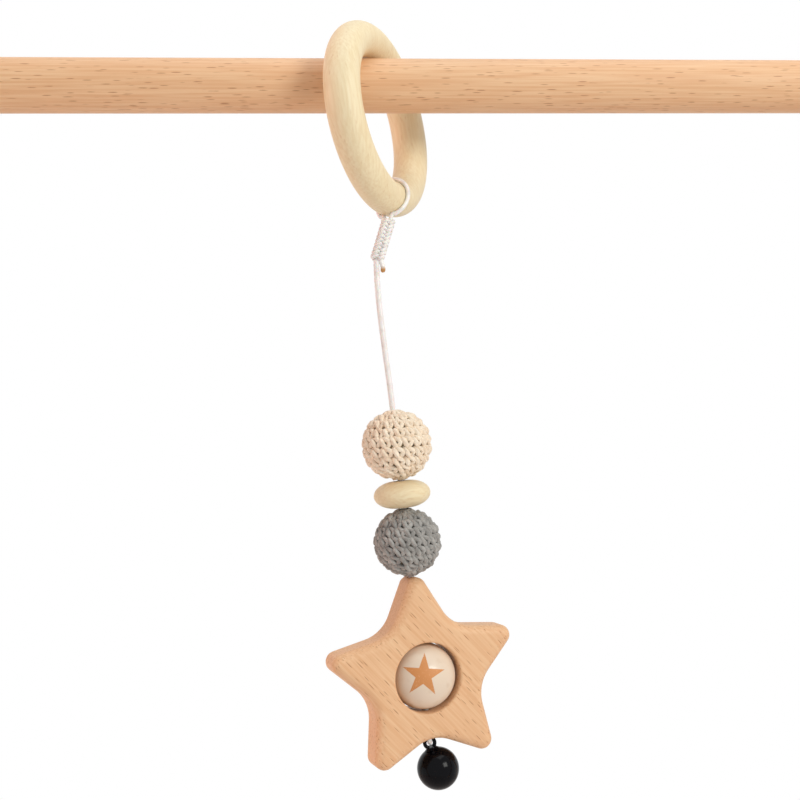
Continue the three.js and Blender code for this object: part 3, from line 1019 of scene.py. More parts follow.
    def build_block(self) -> None:
        """Builds the block beside the outer leg's head, which the inner leg rests against."""
        node = f"{self.side}_stop_block"
        half = self.width / 2
        clear = half + self.fit
        opening = 2 * self.spread
        touch = (clear - half * math.cos(opening)) / math.sin(opening)
        corner = math.pi / 4
        hollow = arc(Vector((0, 0)), clear, math.pi - opening, corner, steps=24)
        points = [Vector((-half, touch)), *hollow, Vector((half, clear * math.sin(corner)))]
        outline = [self.on_leg(Leg.OUTER, p.x, p.y) for p in points]
        outline += self.head(Leg.OUTER, self.outer_head, self.outer_head_rounding)
        place, thickness = self.place(node)
        shape = Mesher()
        shape.plate(outline, thickness, self.block_rounding, place)
        block = shape.piece(f"{node}_wood")
        even_shading(block)
        up = self.on_leg(Leg.OUTER, 0, 1)
        grain = Vector((0, up.x, up.y))
        settle(block, BEECH.material(f"beech of the {node}", grain), "frame", Slot.BEECH, node)

    def build_rings(self) -> None:
        """Builds the washer and the two nylon spacers on the bolt."""
        rounding, inner = self.ring_rounding, self.ring_hole / 2
        for name, finish, slot in (
            ("bolt_washer", STEEL, Slot.STEEL),
            ("inner_spacer", NYLON, Slot.NYLON),
            ("outer_spacer", NYLON, Slot.NYLON),
        ):
            node = f"{self.side}_{name}"
            low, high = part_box(node)
            outer, half = (high.z - low.z) / 2, (high.x - low.x) / 2
            outside = arc(Vector((outer - rounding, 0)), rounding, -math.pi / 2, math.pi / 2, steps=8)
            edge = [(p.x, p.y + math.copysign(half - rounding, p.y)) for p in outside]
            shape = Mesher()
            centre = (low + high) / 2
            shape.lathe([(inner, -half), *edge, (inner, half)], self.segments, standing(centre, ALONG_BAR))
            ring = shape.piece(f"{node}_ring")
            settle(ring, finish.material(f"finish of the {node}"), "frame", slot, node)

    def build_bolt(self) -> None:
        """Builds the bolt, with a domed head and a hexagon socket, and repaints the insert that it screws into."""
        node = f"{self.side}_bolt"
        low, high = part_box(node)
        radius = (high.z - low.z) / 2
        near, far = sorted((abs(low.x), abs(high.x)))
        seat = abs(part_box(f"{self.side}_bolt_washer")[0 if self.outwards < 0 else 1].x) + self.fit
        shaft, tip, chamfer = self.shaft_radius, self.shaft_chamfer, self.head_chamfer
        rim, inset, steps = far - self.head_dome - chamfer, radius - chamfer, 10
        angles = [math.pi / 2 * k / steps for k in range(steps + 1)]
        dome = [(radius - chamfer * (1 - math.cos(a)), rim + chamfer * math.sin(a)) for a in angles]
        crown = [(inset * (1 - k / steps), far - self.head_dome * (1 - k / steps) ** 2) for k in range(1, steps + 1)]
        stem = [(0.0, near), (shaft - tip, near), (shaft, near + tip), (shaft, seat), (radius, seat)]
        axis = ALONG_BAR * self.outwards
        place = standing(Vector((0, 0, self.bolt_height)), axis)
        shape = Mesher()
        shape.lathe([*stem, *dome, *crown], self.segments, place)
        bolt = shape.piece(f"{node}_steel", crease=30)
        key = Mesher()
        corner = self.socket_across_flats / 2 / math.cos(math.pi / 6)
        key.rod(corner, far - self.socket_depth, far + self.socket_depth, segments=6, place=place)
        carve(bolt, key)
        settle(bolt, STEEL.material(f"steel of the {node}"), "frame", Slot.STEEL, node)
        repaint(f"{self.side}_insert", STEEL.material(f"steel of the {self.side} insert"))

    def build(self) -> None:
        """Builds everything at this end of the bar."""
        for leg in Leg:
            self.build_leg(leg)
            self.build_foot(leg)
        self.build_block()
        self.build_rings()
        self.build_bolt()


@dataclass
class HangingRing:
    """The maple ring that rides on the bar, and the directions that the lace round it needs."""

    diameter: float = 70 * MM
    thickness: float = 12.6 * MM
    yaw: float = math.radians(28.1)
    tilt: float = math.radians(7.6)
    segments: int = 160
    sides: int = 48

    def __post_init__(self) -> None:
        """Works out the ring's normal, its level line and its rise."""
        low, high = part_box("ring")
        self.centre = (low + high) / 2
        self.radius = (self.diameter - self.thickness) / 2
        level_part = math.cos(self.tilt)
        across = Vector((math.cos(self.yaw), -math.sin(self.yaw), 0))
        self.normal = across * level_part + UP * math.sin(self.tilt)
        self.level = Vector((math.sin(self.yaw), math.cos(self.yaw), 0))
        self.rise = self.normal.cross(self.level)

    def on_ring(self, angle: float) -> Vector:
        """A point on the ring's middle line from its centre, at an angle from its lowest point."""
        return self.radius * (self.level * math.sin(angle) - self.rise * math.cos(angle))

    def build(self) -> None:
        """Builds the ring."""
        turns = [2 * math.pi * i / self.segments for i in range(self.segments)]
        shape = Mesher()
        line = [self.centre + self.on_ring(t) for t in turns]
        shape.tube(line, self.thickness / 2, self.sides, closed=True)
        ring = shape.piece("maple_ring")
        settle(ring, MAPLE.material("maple of the ring", self.rise), "hanging_ring", Slot.MAPLE, "ring")


@dataclass
class LaceRun:
    """The lace: round the ring, whipped into a knot, then down through every bead to the bell's loop."""

    ring: HangingRing
    diameter: float = 2 * MM
    hitch_diameter: float = 1.45 * MM
    hitch_seat: float = 0.15 * MM
    hitch_places: tuple[float, ...] = (-7.0, 0.0, 10.0, 10.0, -7.0)
    fit: float = 0.3 * MM
    knot_turns: int = 8
    knot_pitch: float = 1.5 * MM
    knot_lace: float = 1.08 * MM
    knot_drop: float = 1.2 * MM
    knot_rise: float = 1.3 * MM
    knot_rows: int = 10
    knot_half_width: float = 1.8 * MM
    knot_half_depth: float = 1.6 * MM
    knot_groove: float = 0.8 * MM
    knot_slant: float = 0.42 * MM
    knot_strand: float = 0.7 * MM
    knot_lean: float = math.radians(-18)
    tail_rise: float = 3.5 * MM
    free_length: float = 52.3 * MM
    bend_share: float = 1 / 3
    loop_radius: float = 1.9 * MM
    loop_lace: float = 1.5 * MM
    loop_steps: int = 90
    plait_depth: float = 0.07 * MM
    plait_pitch: float = 2.6 * MM
    plait_strands: int = 6
    plait_roundness: float = 0.7
    plait_level: float = 0.6
    line_step: float = 0.13 * MM
    knot_step: float = 0.16 * MM
    knot_groove_share: float = 0.32
    tail_step: float = 0.1 * MM

    def __post_init__(self) -> None:
        """Works out the main points of the lace, from where the toy swings."""
        self.swing_point = joint("toy_swing_front")[0]
        self.up_chain = joint("star_spin")[1]
        self.down_knot = Vector((math.sin(self.knot_lean), 0, -math.cos(self.knot_lean)))
        self.knot_length = self.knot_turns * self.knot_pitch
        self.knot_end = self.swing_point + self.down_knot * (self.knot_drop + self.knot_length + self.knot_lace)
        self.first_bead_top = self.knot_end - self.up_chain * self.free_length
        self.loop_centre = joint("bell_swing")[0] + self.up_chain * self.loop_radius

    def plait(self, pitch_share: float = 1.0) -> Relief:
        """The relief of a plaited lace: two sets of strands that pass over and under each other.

        Args:
            pitch_share: its pitch, as a share of the usual one.

        Returns:
            The relief.
        """
        pitch = self.plait_pitch * pitch_share

        def height(angle: float, along: float) -> float:
            """How high the surface stands at a place.

            Args:
                angle: the angle round the lace.
                along: the distance along it.

            Returns:
                The height.
            """
            climb = 2 * math.pi * along / pitch
            one = math.cos((self.plait_strands * angle + climb) / 2)
            other = math.cos((self.plait_strands * angle - climb) / 2)
            over = one if one * other > 0 else other
            return self.plait_depth * (abs(over) ** self.plait_roundness - self.plait_level)

        return height

    def route(self) -> list[Vector]:
        """The middle of the lace from the swing point to the loop for the bell.

        Returns:
            The points, from the top.
        """
        start, end = self.knot_end, self.first_bead_top
        leaving = start - UP * self.free_length * self.bend_share
        arriving = end + self.up_chain * self.free_length * self.bend_share
        free = []
        steps = 40
        for t in (k / steps for k in range(steps + 1)):
            back = 1 - t
            free.append(back**3 * start + 3 * back**2 * t * leaving + 3 * back * t**2 * arriving + t**3 * end)
        return [self.swing_point, *free, self.loop_centre + self.up_chain * self.loop_radius]

    def build_line(self) -> None:
        line = even_line(self.route(), self.line_step)
        shape = Mesher()
        shape.tube(line, self.diameter / 2, sides=22, relief=self.plait())
        lace = shape.piece("plaited_lace", crease=180)
        settle(lace, LACE.material("lace"), "pendant", Slot.LACE, "lace")

    def build_hitch(self) -> None:
        """Builds the lace drawn round the ring."""
        reach = (self.ring.thickness + self.hitch_diameter) / 2 + self.hitch_seat
        opening = math.asin(self.fit / reach)
        line = []
        steps = 150
        for k in range(steps + 1):
            section = opening + 2 * (math.pi - opening) * k / steps
            centre = self.ring.on_ring(self.hitch_turn(section))
            away = centre.normalized() * math.cos(section) + self.ring.normal * math.sin(section)
            line.append(self.ring.centre + centre + away * reach)
        ends = [self.swing_point + self.down_knot * self.hitch_diameter + off for off in self.hitch_feet()]
        skipped = 4
        line = smooth_line([ends[0], *line[skipped:-skipped:skipped], ends[1]], steps=6)
        shape = Mesher()
        line = even_line(line, self.line_step)
        shape.tube(line, self.hitch_diameter / 2, sides=20, relief=self.plait(pitch_share=0.9))
        hitch = shape.piece("plaited_hitch", crease=180)
        settle(hitch, LACE.material("lace of the hitch"), "hitch", Slot.LACE, "lace_hitch")

    def hitch_turn(self, section: float) -> float:
        """How far along the ring the hitch lies, at an angle round the ring's section.

        Args:
            section: the angle round the ring's section.

        Returns:
            The angle along the ring.
        """
        quarter = section / (math.pi / 2)
        k = min(int(quarter), len(self.hitch_places) - 2)
        return math.radians(on_curve(self.hitch_places, k, quarter - k))

    def hitch_feet(self) -> tuple[Vector, Vector]:
        """How far each end of the hitch lies from the middle of the knot, where it goes in at the top."""
        apart = self.ring.normal * self.hitch_diameter / 2
        return apart, -apart

    def build_knot(self) -> None:
        """Builds the turns of the knot. Each dips between two columns, and slants over each of them."""
        place = standing(self.swing_point, -self.down_knot)
        bottom = self.knot_drop + self.knot_length + self.knot_lace
        first = self.knot_strand - self.knot_rise
        pitch = (bottom - self.knot_strand - first) / self.knot_rows
        steps_per_turn = 64
        line = []
        for k in range(self.knot_rows * steps_per_turn + 1):
            turn = 2 * math.pi * k / steps_per_turn
            groove = math.exp(-((math.cos(turn) / self.knot_groove_share) ** 2))
            dip = 1 - self.knot_groove / self.knot_half_depth * groove
            x = self.knot_half_width * math.cos(turn)
            y = -self.knot_half_depth * dip * math.sin(turn)
            drop = first + pitch * k / steps_per_turn - self.knot_slant * math.sin(4 * turn)
            line.append(place @ Vector((x, y, -drop)))
        shape = Mesher()
        line = even_line(line, self.knot_step)
        shape.tube(line, self.knot_strand, sides=16, relief=self.plait(pitch_share=0.6))
        knot = shape.piece("plaited_knot", crease=180)
        settle(knot, LACE.material("lace of the knot"), "pendant", Slot.LACE, "lace_knot")

    def build_tail(self) -> None:
        """Builds the end of the lace, which was melted so that it can't fray."""
        low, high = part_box("lace_tail")
        middle = (low + high) / 2
        radius = (high.y - low.y) / 2
        start = self.knot_end + UP * self.tail_rise
        foot = Vector((middle.x, middle.y, low.z))
        top = Vector((middle.x, middle.y, high.z))
        line = even_line(smooth_line([start, top, foot], steps=8), self.tail_step)
        narrowest = 0.08
        widths = []
        for p in line:
            left = min(1.0, (p - foot).length / radius)
            widths.append(radius * max(narrowest, math.sqrt(1 - (1 - left) ** 2)))
        shape = Mesher()
        shape.tube(line, widths, sides=32)
        tail = shape.piece("singed_tail")
        finish = LACE.singed("singed lace", 0xC08A4E, high.z, low.z + radius)
        settle(tail, finish, "pendant", Slot.SINGED, "lace_tail")

    def build_loop(self) -> None:
        """Builds the loop at the end of the lace, which holds the bell."""
        place = standing(self.loop_centre, self.up_chain)
        line = [place @ Vector((0, p.x, p.y)) for p in circle(self.loop_radius, self.loop_steps)]
        shape = Mesher()
        shape.tube(line, self.loop_lace / 2, sides=18, relief=self.plait(pitch_share=0.92), closed=True)
        loop = shape.piece("plaited_bell_loop", crease=180)
        settle(loop, LACE.material("lace of the loop"), "pendant", Slot.LACE)

    def build(self) -> None:
        """Builds every part of the lace."""
        self.build_line()
        self.build_hitch()
        self.build_knot()
        self.build_tail()
        self.build_loop()


@dataclass
class TurnedBead:
    """A round bead with a bore, on the lace."""

    name: str
    node: str
    body: str
    joint: str
    diameter: float
    bore: float = 2.8 * MM
    segments: int = 96

    def build(self, finish: bpy.types.Material, slot: Slot) -> None:
        """Turns the bead round the lace.

        Args:
            finish: its material.
            slot: the record's slot that it is painted from.
        """
        centre, axis = joint(self.joint)
        radius = self.diameter / 2
        reach = math.acos(self.bore / self.diameter)
        steps = 48
        angles = [reach * (2 * k / steps - 1) for k in range(steps + 1)]
        profile = [(radius * math.cos(a), radius * math.sin(a)) for a in angles]
        shape = Mesher()
        shape.lathe(profile, self.segments, standing(centre, axis))
        settle(shape.piece(self.name, crease=60), finish, self.body, slot, self.node)


@dataclass
class CrochetCover:
    """A crocheted cover: rounds of stitches that climb a core bead, each of two legs and a top loop."""

    name: str
    node: str
    body: str
    joint: str
    core: float
    thickness: float
    seed: int
    rows: int = 9
    stitch_width: float = 3.8 * MM
    yarn: float = 1.6 * MM
    mouth: float = 5 * MM
    collar: float = 2.3 * MM
    tilt: float = math.radians(7)
    sink: float = 0.7 * MM
    plies: int = 3
    ply_depth: float = 0.12 * MM
    ply_pitch: float = 3.6 * MM
    unevenness: float = 0.05
    fewest_stitches: int = 6
    strand_steps: int = 3
    sides: int = 12
    end_girth: float = 0.62
    collar_steps: int = 60

    def __post_init__(self) -> None:
        """Finds the cover's place, its two surfaces and the height of a round."""
        centre, axis = joint(self.joint)
        self.place = standing(centre, axis)
        self.outside = self.core / 2 + self.thickness
        self.low = self.core / 2 - self.sink + self.yarn / 2
        self.high = self.outside - self.yarn / 2
        self.reach = math.acos(self.mouth / 2 / self.outside)
        self.row_angle = 2 * self.reach / self.rows

    def ply(self, angle: float, along: float) -> float:
        """The relief of the plies that are twisted into the yarn."""
        return self.ply_depth * math.cos(self.plies * angle + 2 * math.pi * along / self.ply_pitch)

    def strands(self) -> list[tuple[float, list[Triple]]]:
        """One stitch, as strands.

        Returns:
            Each strand's girth, in shares of the yarn, and its points. A point is a share of the stitch's width,
            a share of its height, and a lift.
        """
        left_leg = [(-0.56, 0.62, 0.0), (-0.47, 0.38, 0.8), (-0.3, 0.08, 1.0), (-0.12, -0.24, 0.85), (0.02, -0.56, 0.0)]
        right_leg = [(0.5, 0.5, 0.0), (0.42, 0.3, 0.65), (0.31, 0.04, 0.85), (0.19, -0.24, 0.65), (0.1, -0.54, 0.0)]
        top_loop = [(-0.5, 0.66, 0.0), (-0.22, 0.56, 0.7), (0.06, 0.42, 0.9), (0.34, 0.26, 0.75), (0.6, 0.06, 0.0)]
        return [(1.12, left_leg), (0.95, right_leg), (1.0, top_loop)]

    def on_cover(self, east: float, height: float, lift: float) -> Vector:
        """A point at two angles on the cover and a share of the way out through it.

        Args:
            east: the angle round the lace.
            height: the angle above the middle.
            lift: the share of the way out through the cover.

        Returns:
            The point.
        """
        height = max(-self.reach, min(self.reach, height))
        radius = self.low + (self.high - self.low) * lift
        level = radius * math.cos(height)
        point = Vector((level * math.cos(east), level * math.sin(east), radius * math.sin(height)))
        return self.place @ Matrix.Rotation(self.tilt, 4, "Y") @ point

    def add_strand(self, shape: Mesher, girth: float, points: list[Vector]) -> None:
        """Lays one strand of yarn through points, thinner at its ends.

        Args:
            shape: what it is added to.
            girth: how thick it is, in shares of the yarn.
            points: the points.
        """
        line = smooth_line(points, self.strand_steps)
        last = len(line) - 1
        most, end = girth * self.yarn / 2, self.end_girth
        width = [most * (end + (1 - end) * math.sin(math.pi * k / last)) for k in range(last + 1)]
        shape.tube(line, width, self.sides, self.ply)

    def add_collars(self, shape: Mesher) -> None:
        """Lays a ring of yarn round the lace at both ends of the bore.

        Args:
            shape: what they are added to.
        """
        height = math.sqrt(self.outside**2 - self.collar**2) - self.yarn / 2
        for end in (-height, height):
            ring = [self.place @ Vector((p.x, p.y, end)) for p in circle(self.collar, self.collar_steps)]
            shape.tube(ring, self.yarn / 2, self.sides, self.ply, closed=True)

    def build(self, finish: bpy.types.Material, slot: Slot) -> None:
        """Works every stitch of the cover.

        Args:
            finish: the yarn's material.
            slot: the record's slot that it is painted from.
        """
        draw = random.Random(self.seed)
        shape = Mesher()
        for row in range(self.rows):
            latitude = -self.reach + (row + 0.5) * self.row_angle
            around = 2 * math.pi * self.high * math.cos(latitude)
            count = max(self.fewest_stitches, round(around / self.stitch_width))
            for i in range(count):
                turn = (i + 0.5 * (row % 2)) / count
                here = latitude + self.row_angle * (i / count - 0.5)
                aside, rise, swell = (draw.uniform(-self.unevenness, self.unevenness) for _ in range(3))
                for girth, strand in self.strands():
                    points = []
                    for across, up, lift in strand:
                        east = 2 * math.pi * (turn + (across + aside) / count)
                        points.append(self.on_cover(east, here + (up + rise) * self.row_angle, lift + swell))
                    self.add_strand(shape, girth, points)
        self.add_collars(shape)
        settle(shape.piece(self.name, crease=180), finish, self.body, slot, self.node)


@dataclass
class DiscBead:
    """A lens-shaped maple bead."""

    diameter: float = 20 * MM
    thickness: float = 9.4 * MM
    flat: float = 5.4 * MM
    bore: float = 2.8 * MM
    grain: Triple = (0.95, 0.3, 0.0)
    segments: int = 96

    def build(self) -> None:
        """Turns the bead round the lace."""
        centre, axis = joint("disc_bead_spin")
        outer, flat, bore = self.diameter / 2, self.flat / 2, self.bore / 2
        half, steps = self.thickness / 2, 48
        angles = [math.pi * (k / steps - 0.5) for k in range(steps + 1)]
        side = [(flat + (outer - flat) * math.cos(a), half * math.sin(a)) for a in angles]
        mouth = bore / 4
        lower = [(bore, mouth - half), (bore + mouth, -half)]
        upper = [(bore + mouth, half), (bore, half - mouth)]
        shape = Mesher()
        shape.lathe([*lower, *side, *upper], self.segments, standing(centre, axis))
        disc = shape.piece("maple_disc_bead", crease=50)
        grain = standing(centre, axis).to_3x3() @ Vector(self.grain)
        settle(disc, MAPLE.material("maple of the disc", grain), "disc", Slot.MAPLE, "disc_bead")


@dataclass
class BeadRow:
    """The three beads above the star: two in crocheted covers, with a disc between them."""

    cream_core: float = 20 * MM
    cream_cover: float = 2.4 * MM
    grey_core: float = 19.2 * MM
    grey_cover: float = 2.3 * MM

    def build_covered(self, name: str, core: float, thickness: float, yarn: Yarn, slot: Slot, seed: int) -> None:
        """Builds a maple bead and the crocheted cover on it.

        Args:
            name: the cover's colour.
            core: the bead's diameter.
            thickness: how thick the cover is.
            yarn: what it is made of.
            slot: the record's slot that the cover is painted from.
            seed: what its unevenness is drawn from.
        """
        node, hinge = f"{name}_bead", f"{name}_bead_spin"
        bead = TurnedBead(f"{node}_maple_core", f"{node}_core", node, hinge, core)
        bead.build(MAPLE.material(f"maple of the {name} core", UP), Slot.MAPLE)
        cover = CrochetCover(f"{name}_crocheted_cover", f"{node}_cover", node, hinge, core, thickness, seed)
        cover.build(yarn.material(f"{name} yarn"), slot)

    def build(self) -> None:
        """Builds the three beads."""
        self.build_covered("cream", self.cream_core, self.cream_cover, CREAM_YARN, Slot.CREAM, seed=3)
        self.build_covered("grey", self.grey_core, self.grey_cover, GREY_YARN, Slot.GREY, seed=5)
        DiscBead().build()


@dataclass
class StarToy:
    """The beech star, and the printed bead that turns in its hole."""

    arms: int = 5
    tip_radius: float = 34.8 * MM
    tip_rounding: float = 3.6 * MM
    crotch_radius: float = 21.6 * MM
    crotch_rounding: float = 13 * MM
    thickness: float = 13 * MM
    edge_rounding: float = 3.2 * MM
    hole: float = 24.2 * MM
    hole_rounding: float = 0.9 * MM
    turn: float = math.radians(15)
    bore: float = 2.8 * MM
    recess: float = 6.4 * MM
    recess_depth: float = 3.2 * MM
    bead: float = 23.2 * MM
    overcut: float = 1.2
    grain_lean: float = math.radians(-52)
    print_radius: float = 7.6 * MM
    print_notch_share: float = 0.38
    print_yaw: float = math.radians(-3.5)
    print_pitch: float = math.radians(12)
    print_turn: float = math.radians(-5)
    print_depth: float = 0.1 * MM
    print_height: float = 0.015 * MM

    def __post_init__(self) -> None:
        """Finds the star's place on the lace."""
        self.centre, self.axis = joint("star_spin")
        self.upright = standing(self.centre, self.axis) @ Matrix.Rotation(self.turn, 4, "Z")
        self.facing = self.upright @ Matrix.Rotation(math.pi / 2, 4, "X")

    def outline(self) -> list[Vector]:
        """The star's edge: an arc at each tip and each crotch, with straight sides that touch both.

        Returns:
            The points, counter-clockwise.
        """
        half = math.pi / self.arms
        tip = Vector((self.tip_radius - self.tip_rounding, 0))
        middle = self.crotch_radius + self.crotch_rounding
        crotch = Vector((middle * math.cos(half), middle * math.sin(half)))
        between = crotch - tip
        lean = math.acos((self.tip_rounding + self.crotch_rounding) / between.length)
        normal = math.atan2(between.y, between.x) - lean
        tips = arc(tip, self.tip_rounding, -normal, normal, steps=18)
        crotches = arc(crotch, self.crotch_rounding, math.pi + normal, math.pi + 2 * half - normal, steps=16)
        side_steps = 6
        side = [tips[-1].lerp(crotches[0], k / side_steps) for k in range(1, side_steps)]
        turn_back = Matrix.Rotation(2 * half, 2)
        next_side = [crotches[-1].lerp(turn_back @ tips[0], k / side_steps) for k in range(1, side_steps)]
        one_arm = [*tips, *side, *crotches, *next_side]
        return [
            Matrix.Rotation(math.pi / 2 + 2 * half * i, 2) @ p for i in range(self.arms) for p in one_arm
        ]

    def build_star(self) -> None:
        """Builds the star with its round hole, then bores it for the lace."""
        edge = self.outline()
        half, radius, rounding = self.thickness / 2, self.hole / 2, self.hole_rounding
        sides = edge_profile(self.thickness, self.edge_rounding, steps=8)
        edges = [(inset_outline(edge, inset), height) for inset, height in sides]
        face = inset_outline(edge, self.edge_rounding)
        rim = [p.normalized() * (radius + rounding) for p in face]
        front = [([p.lerp(r, share) for p, r in zip(face, rim)], half) for share in (0.25, 0.5, 0.75)]
        steps = 6
        for angle in (math.pi / 2 * k / steps for k in range(steps + 1)):
            out = radius + rounding * (1 - math.sin(angle))
            front.append(([p.normalized() * out for p in face], half - rounding * (1 - math.cos(angle))))
        back = [(points, -height) for points, height in reversed(front)]
        shape = Mesher()
        loops = [shape.level(points, height, self.facing) for points, height in (*edges, *front, *back)]
        shape.stack([*loops, loops[0]])
        star = shape.piece("beech_star")
        for diameter, low, high in (
            (self.bore, 0.0, self.tip_radius * self.overcut),
            (self.bore, -self.tip_radius, 0.0),
            (self.recess, -self.tip_radius, self.recess_depth - self.crotch_radius),
        ):
            drill = Mesher()
            drill.rod(diameter / 2, low, high, segments=48, place=self.upright)
            carve(star, drill)
        star.data.set_sharp_from_angle(angle=math.radians(40))
        even_shading(star)
        grain = self.facing.to_3x3() @ Vector((math.cos(self.grain_lean), math.sin(self.grain_lean), 0))
        settle(star, BEECH.material("beech of the star", grain), "star_piece", Slot.BEECH, "star")

    def build_print(self) -> None:
        """Builds the star printed on the bead, as a thin skin that lies in the bead's varnish."""
        yaw, pitch = self.print_yaw, self.print_pitch
        facing = Vector((math.sin(yaw) * math.cos(pitch), -math.cos(yaw) * math.cos(pitch), math.sin(pitch)))
        place = standing(self.centre, facing, UP)
        corners = []
        for k in range(2 * self.arms):
            reach = self.print_radius * (self.print_notch_share if k % 2 else 1.0)
            angle = math.pi / 2 + self.print_turn + math.pi * k / self.arms
            corners.append(Vector((reach * math.cos(angle), reach * math.sin(angle))))
        side_steps, rings = 8, 10
        edge = [
            a.lerp(b, k / side_steps) for a, b in zip(corners, [*corners[1:], corners[0]]) for k in range(side_steps)
        ]
        shape = Mesher()
        skins = []
        for radius in (self.bead / 2 + self.print_height, self.bead / 2 - self.print_depth):
            loops = [shape.loop([place @ Vector((0, 0, radius))])]
            for k in range(1, rings + 1):
                flat = [p * (k / rings) for p in edge]
                loops.append(
                    shape.loop([place @ Vector((p.x, p.y, math.sqrt(radius**2 - p.length_squared))) for p in flat])
                )
            skins.append(loops)
        front, back = skins
        shape.stack(front[::-1])
        shape.stack([*back, front[-1]])
        mark = shape.piece("printed_star")
        settle(mark, PRINT.material("star print"), "star_bead", Slot.PALE)

    def build(self) -> None:
        """Builds the star, its bead and the print."""
        self.build_star()
        bead = TurnedBead("varnished_star_bead", "printed_bead", "star_bead", "printed_bead_spin", self.bead)
        bead.build(PALE_VARNISH.material("pale varnish"), Slot.PALE)
        self.build_print()


@dataclass
class JingleBell:
    """The black bell on its eye, and the steel pea inside it."""

    diameter: float = 14.8 * MM
    wall: float = 0.7 * MM
    slit: float = 1.3 * MM
    slit_rise: float = 5.2 * MM
    slit_eye: float = 2.4 * MM
    eye_radius: float = 1.75 * MM
    wire: float = 1.35 * MM
    wire_step: float = 0.2 * MM
    eye_opening: float = math.radians(38)
    leg_spread: float = 1.35 * MM
    hang: float = 9.4 * MM
    collar: float = 3.5 * MM
    collar_flare: float = 0.9 * MM
    eye_seat: float = 0.5 * MM
    segments: int = 96

    def __post_init__(self) -> None:
        """Finds the middle of the bell, and the way it hangs."""
        self.centre = joint("pea_roll")[0]
        rise = joint("bell_swing")[0] - self.centre
        rise.y = 0.0
        self.place = standing(self.centre, rise)

    def build_shell(self) -> None:
        """Builds the ball with its slit, which ends in a round hole on each side."""
        outside, inside = self.diameter / 2, self.diameter / 2 - self.wall
        shape = Mesher()
        shape.ball(outside, steps=48, segments=self.segments, place=self.place)
        shell = shape.piece("enamelled_bell", crease=50)
        hollow = Mesher()
        hollow.ball(inside, steps=48, segments=48, place=self.place)
        carve(shell, hollow)
        top = self.slit_rise - outside
        slot = Mesher()
        half, reach = self.slit / 2, 2 * outside
        corners = [Vector((x * reach, y * half)) for x, y in ((-1, -1), (1, -1), (1, 1), (-1, 1))]
        slot.stack([slot.level(corners, height, self.place) for height in (-reach, top)], capped=True)
        carve(shell, slot)
        drill = Mesher()
        across = self.place @ Matrix.Translation(Vector((0, 0, top))) @ Matrix.Rotation(math.pi / 2, 4, "Y")
        drill.rod(self.slit_eye / 2, -reach, reach, segments=32, place=across)
        carve(shell, drill)
        shell.data.set_sharp_from_angle(angle=math.radians(40))
        settle(shell, BLACK_ENAMEL.material("black enamel"), "bell_ball", Slot.ENAMEL, "bell")

    def build_eye(self) -> None:
        """Builds the wire eye, whose legs spread into a collar on the ball."""
        outside = self.diameter / 2
        reach, steps = math.pi - self.eye_opening, 24
        angles = [reach * (2 * k / steps - 1) for k in range(steps + 1)]
        bend = [Vector((math.sin(a), 0, math.cos(a))) * self.eye_radius + Vector((0, 0, self.hang)) for a in angles]
        foot = outside - self.wall
        legs = [Vector((-self.leg_spread, 0, foot)), *bend, Vector((self.leg_spread, 0, foot))]
        line = even_line(smooth_line([self.place @ p for p in legs], steps=4), self.wire_step)
        shape = Mesher()
        shape.tube(line, self.wire / 2, sides=24)
        low, high = outside - self.wall / 2, self.hang - self.eye_radius + self.eye_seat
        wide, flare = self.collar / 2, self.collar_flare
        steps = 10
        sweep = [(wide + flare * (1 - k / steps) ** 2, low + (high - low) * k / steps) for k in range(steps + 1)]
        shape.lathe([(0.0, low), *sweep, (0.0, high)], segments=48, place=self.place)
        eye = shape.piece("enamelled_bell_eye", crease=60)
        settle(eye, BLACK_ENAMEL.material("black enamel of the eye"), "bell_ball", Slot.ENAMEL)

    def build_pea(self) -> None:
        """Builds the ball that rattles in the bell."""
        low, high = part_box("bell_pea")
        shape = Mesher()
        shape.ball((high.z - low.z) / 2, steps=24, segments=48, place=Matrix.Translation((low + high) / 2))
        settle(shape.piece("steel_pea"), STEEL.material("steel of the pea"), "pea", Slot.STEEL, "bell_pea")

    def build(self) -> None:
        """Builds the bell and its pea."""
        self.build_shell()
        self.build_eye()
        self.build_pea()


@dataclass(frozen=True)
class Lamp:
    """One soft lamp of the studio."""

    name: str
    place: Triple
    size: float
    power: float
    tint: Triple

    def build(self, target: Vector) -> None:
        """Hangs the lamp, facing a point.

        Args:
            target: the point.
        """
        light = bpy.data.lights.new(self.name, "AREA")
        light.size = self.size
        light.energy = self.power
        light.color = self.tint
        lamp = bpy.data.objects.new(self.name, light)
        lamp.location = self.place
        lamp.rotation_euler = (target - Vector(self.place)).to_track_quat("-Z", "Y").to_euler()
        bpy.context.scene.collection.objects.link(lamp)


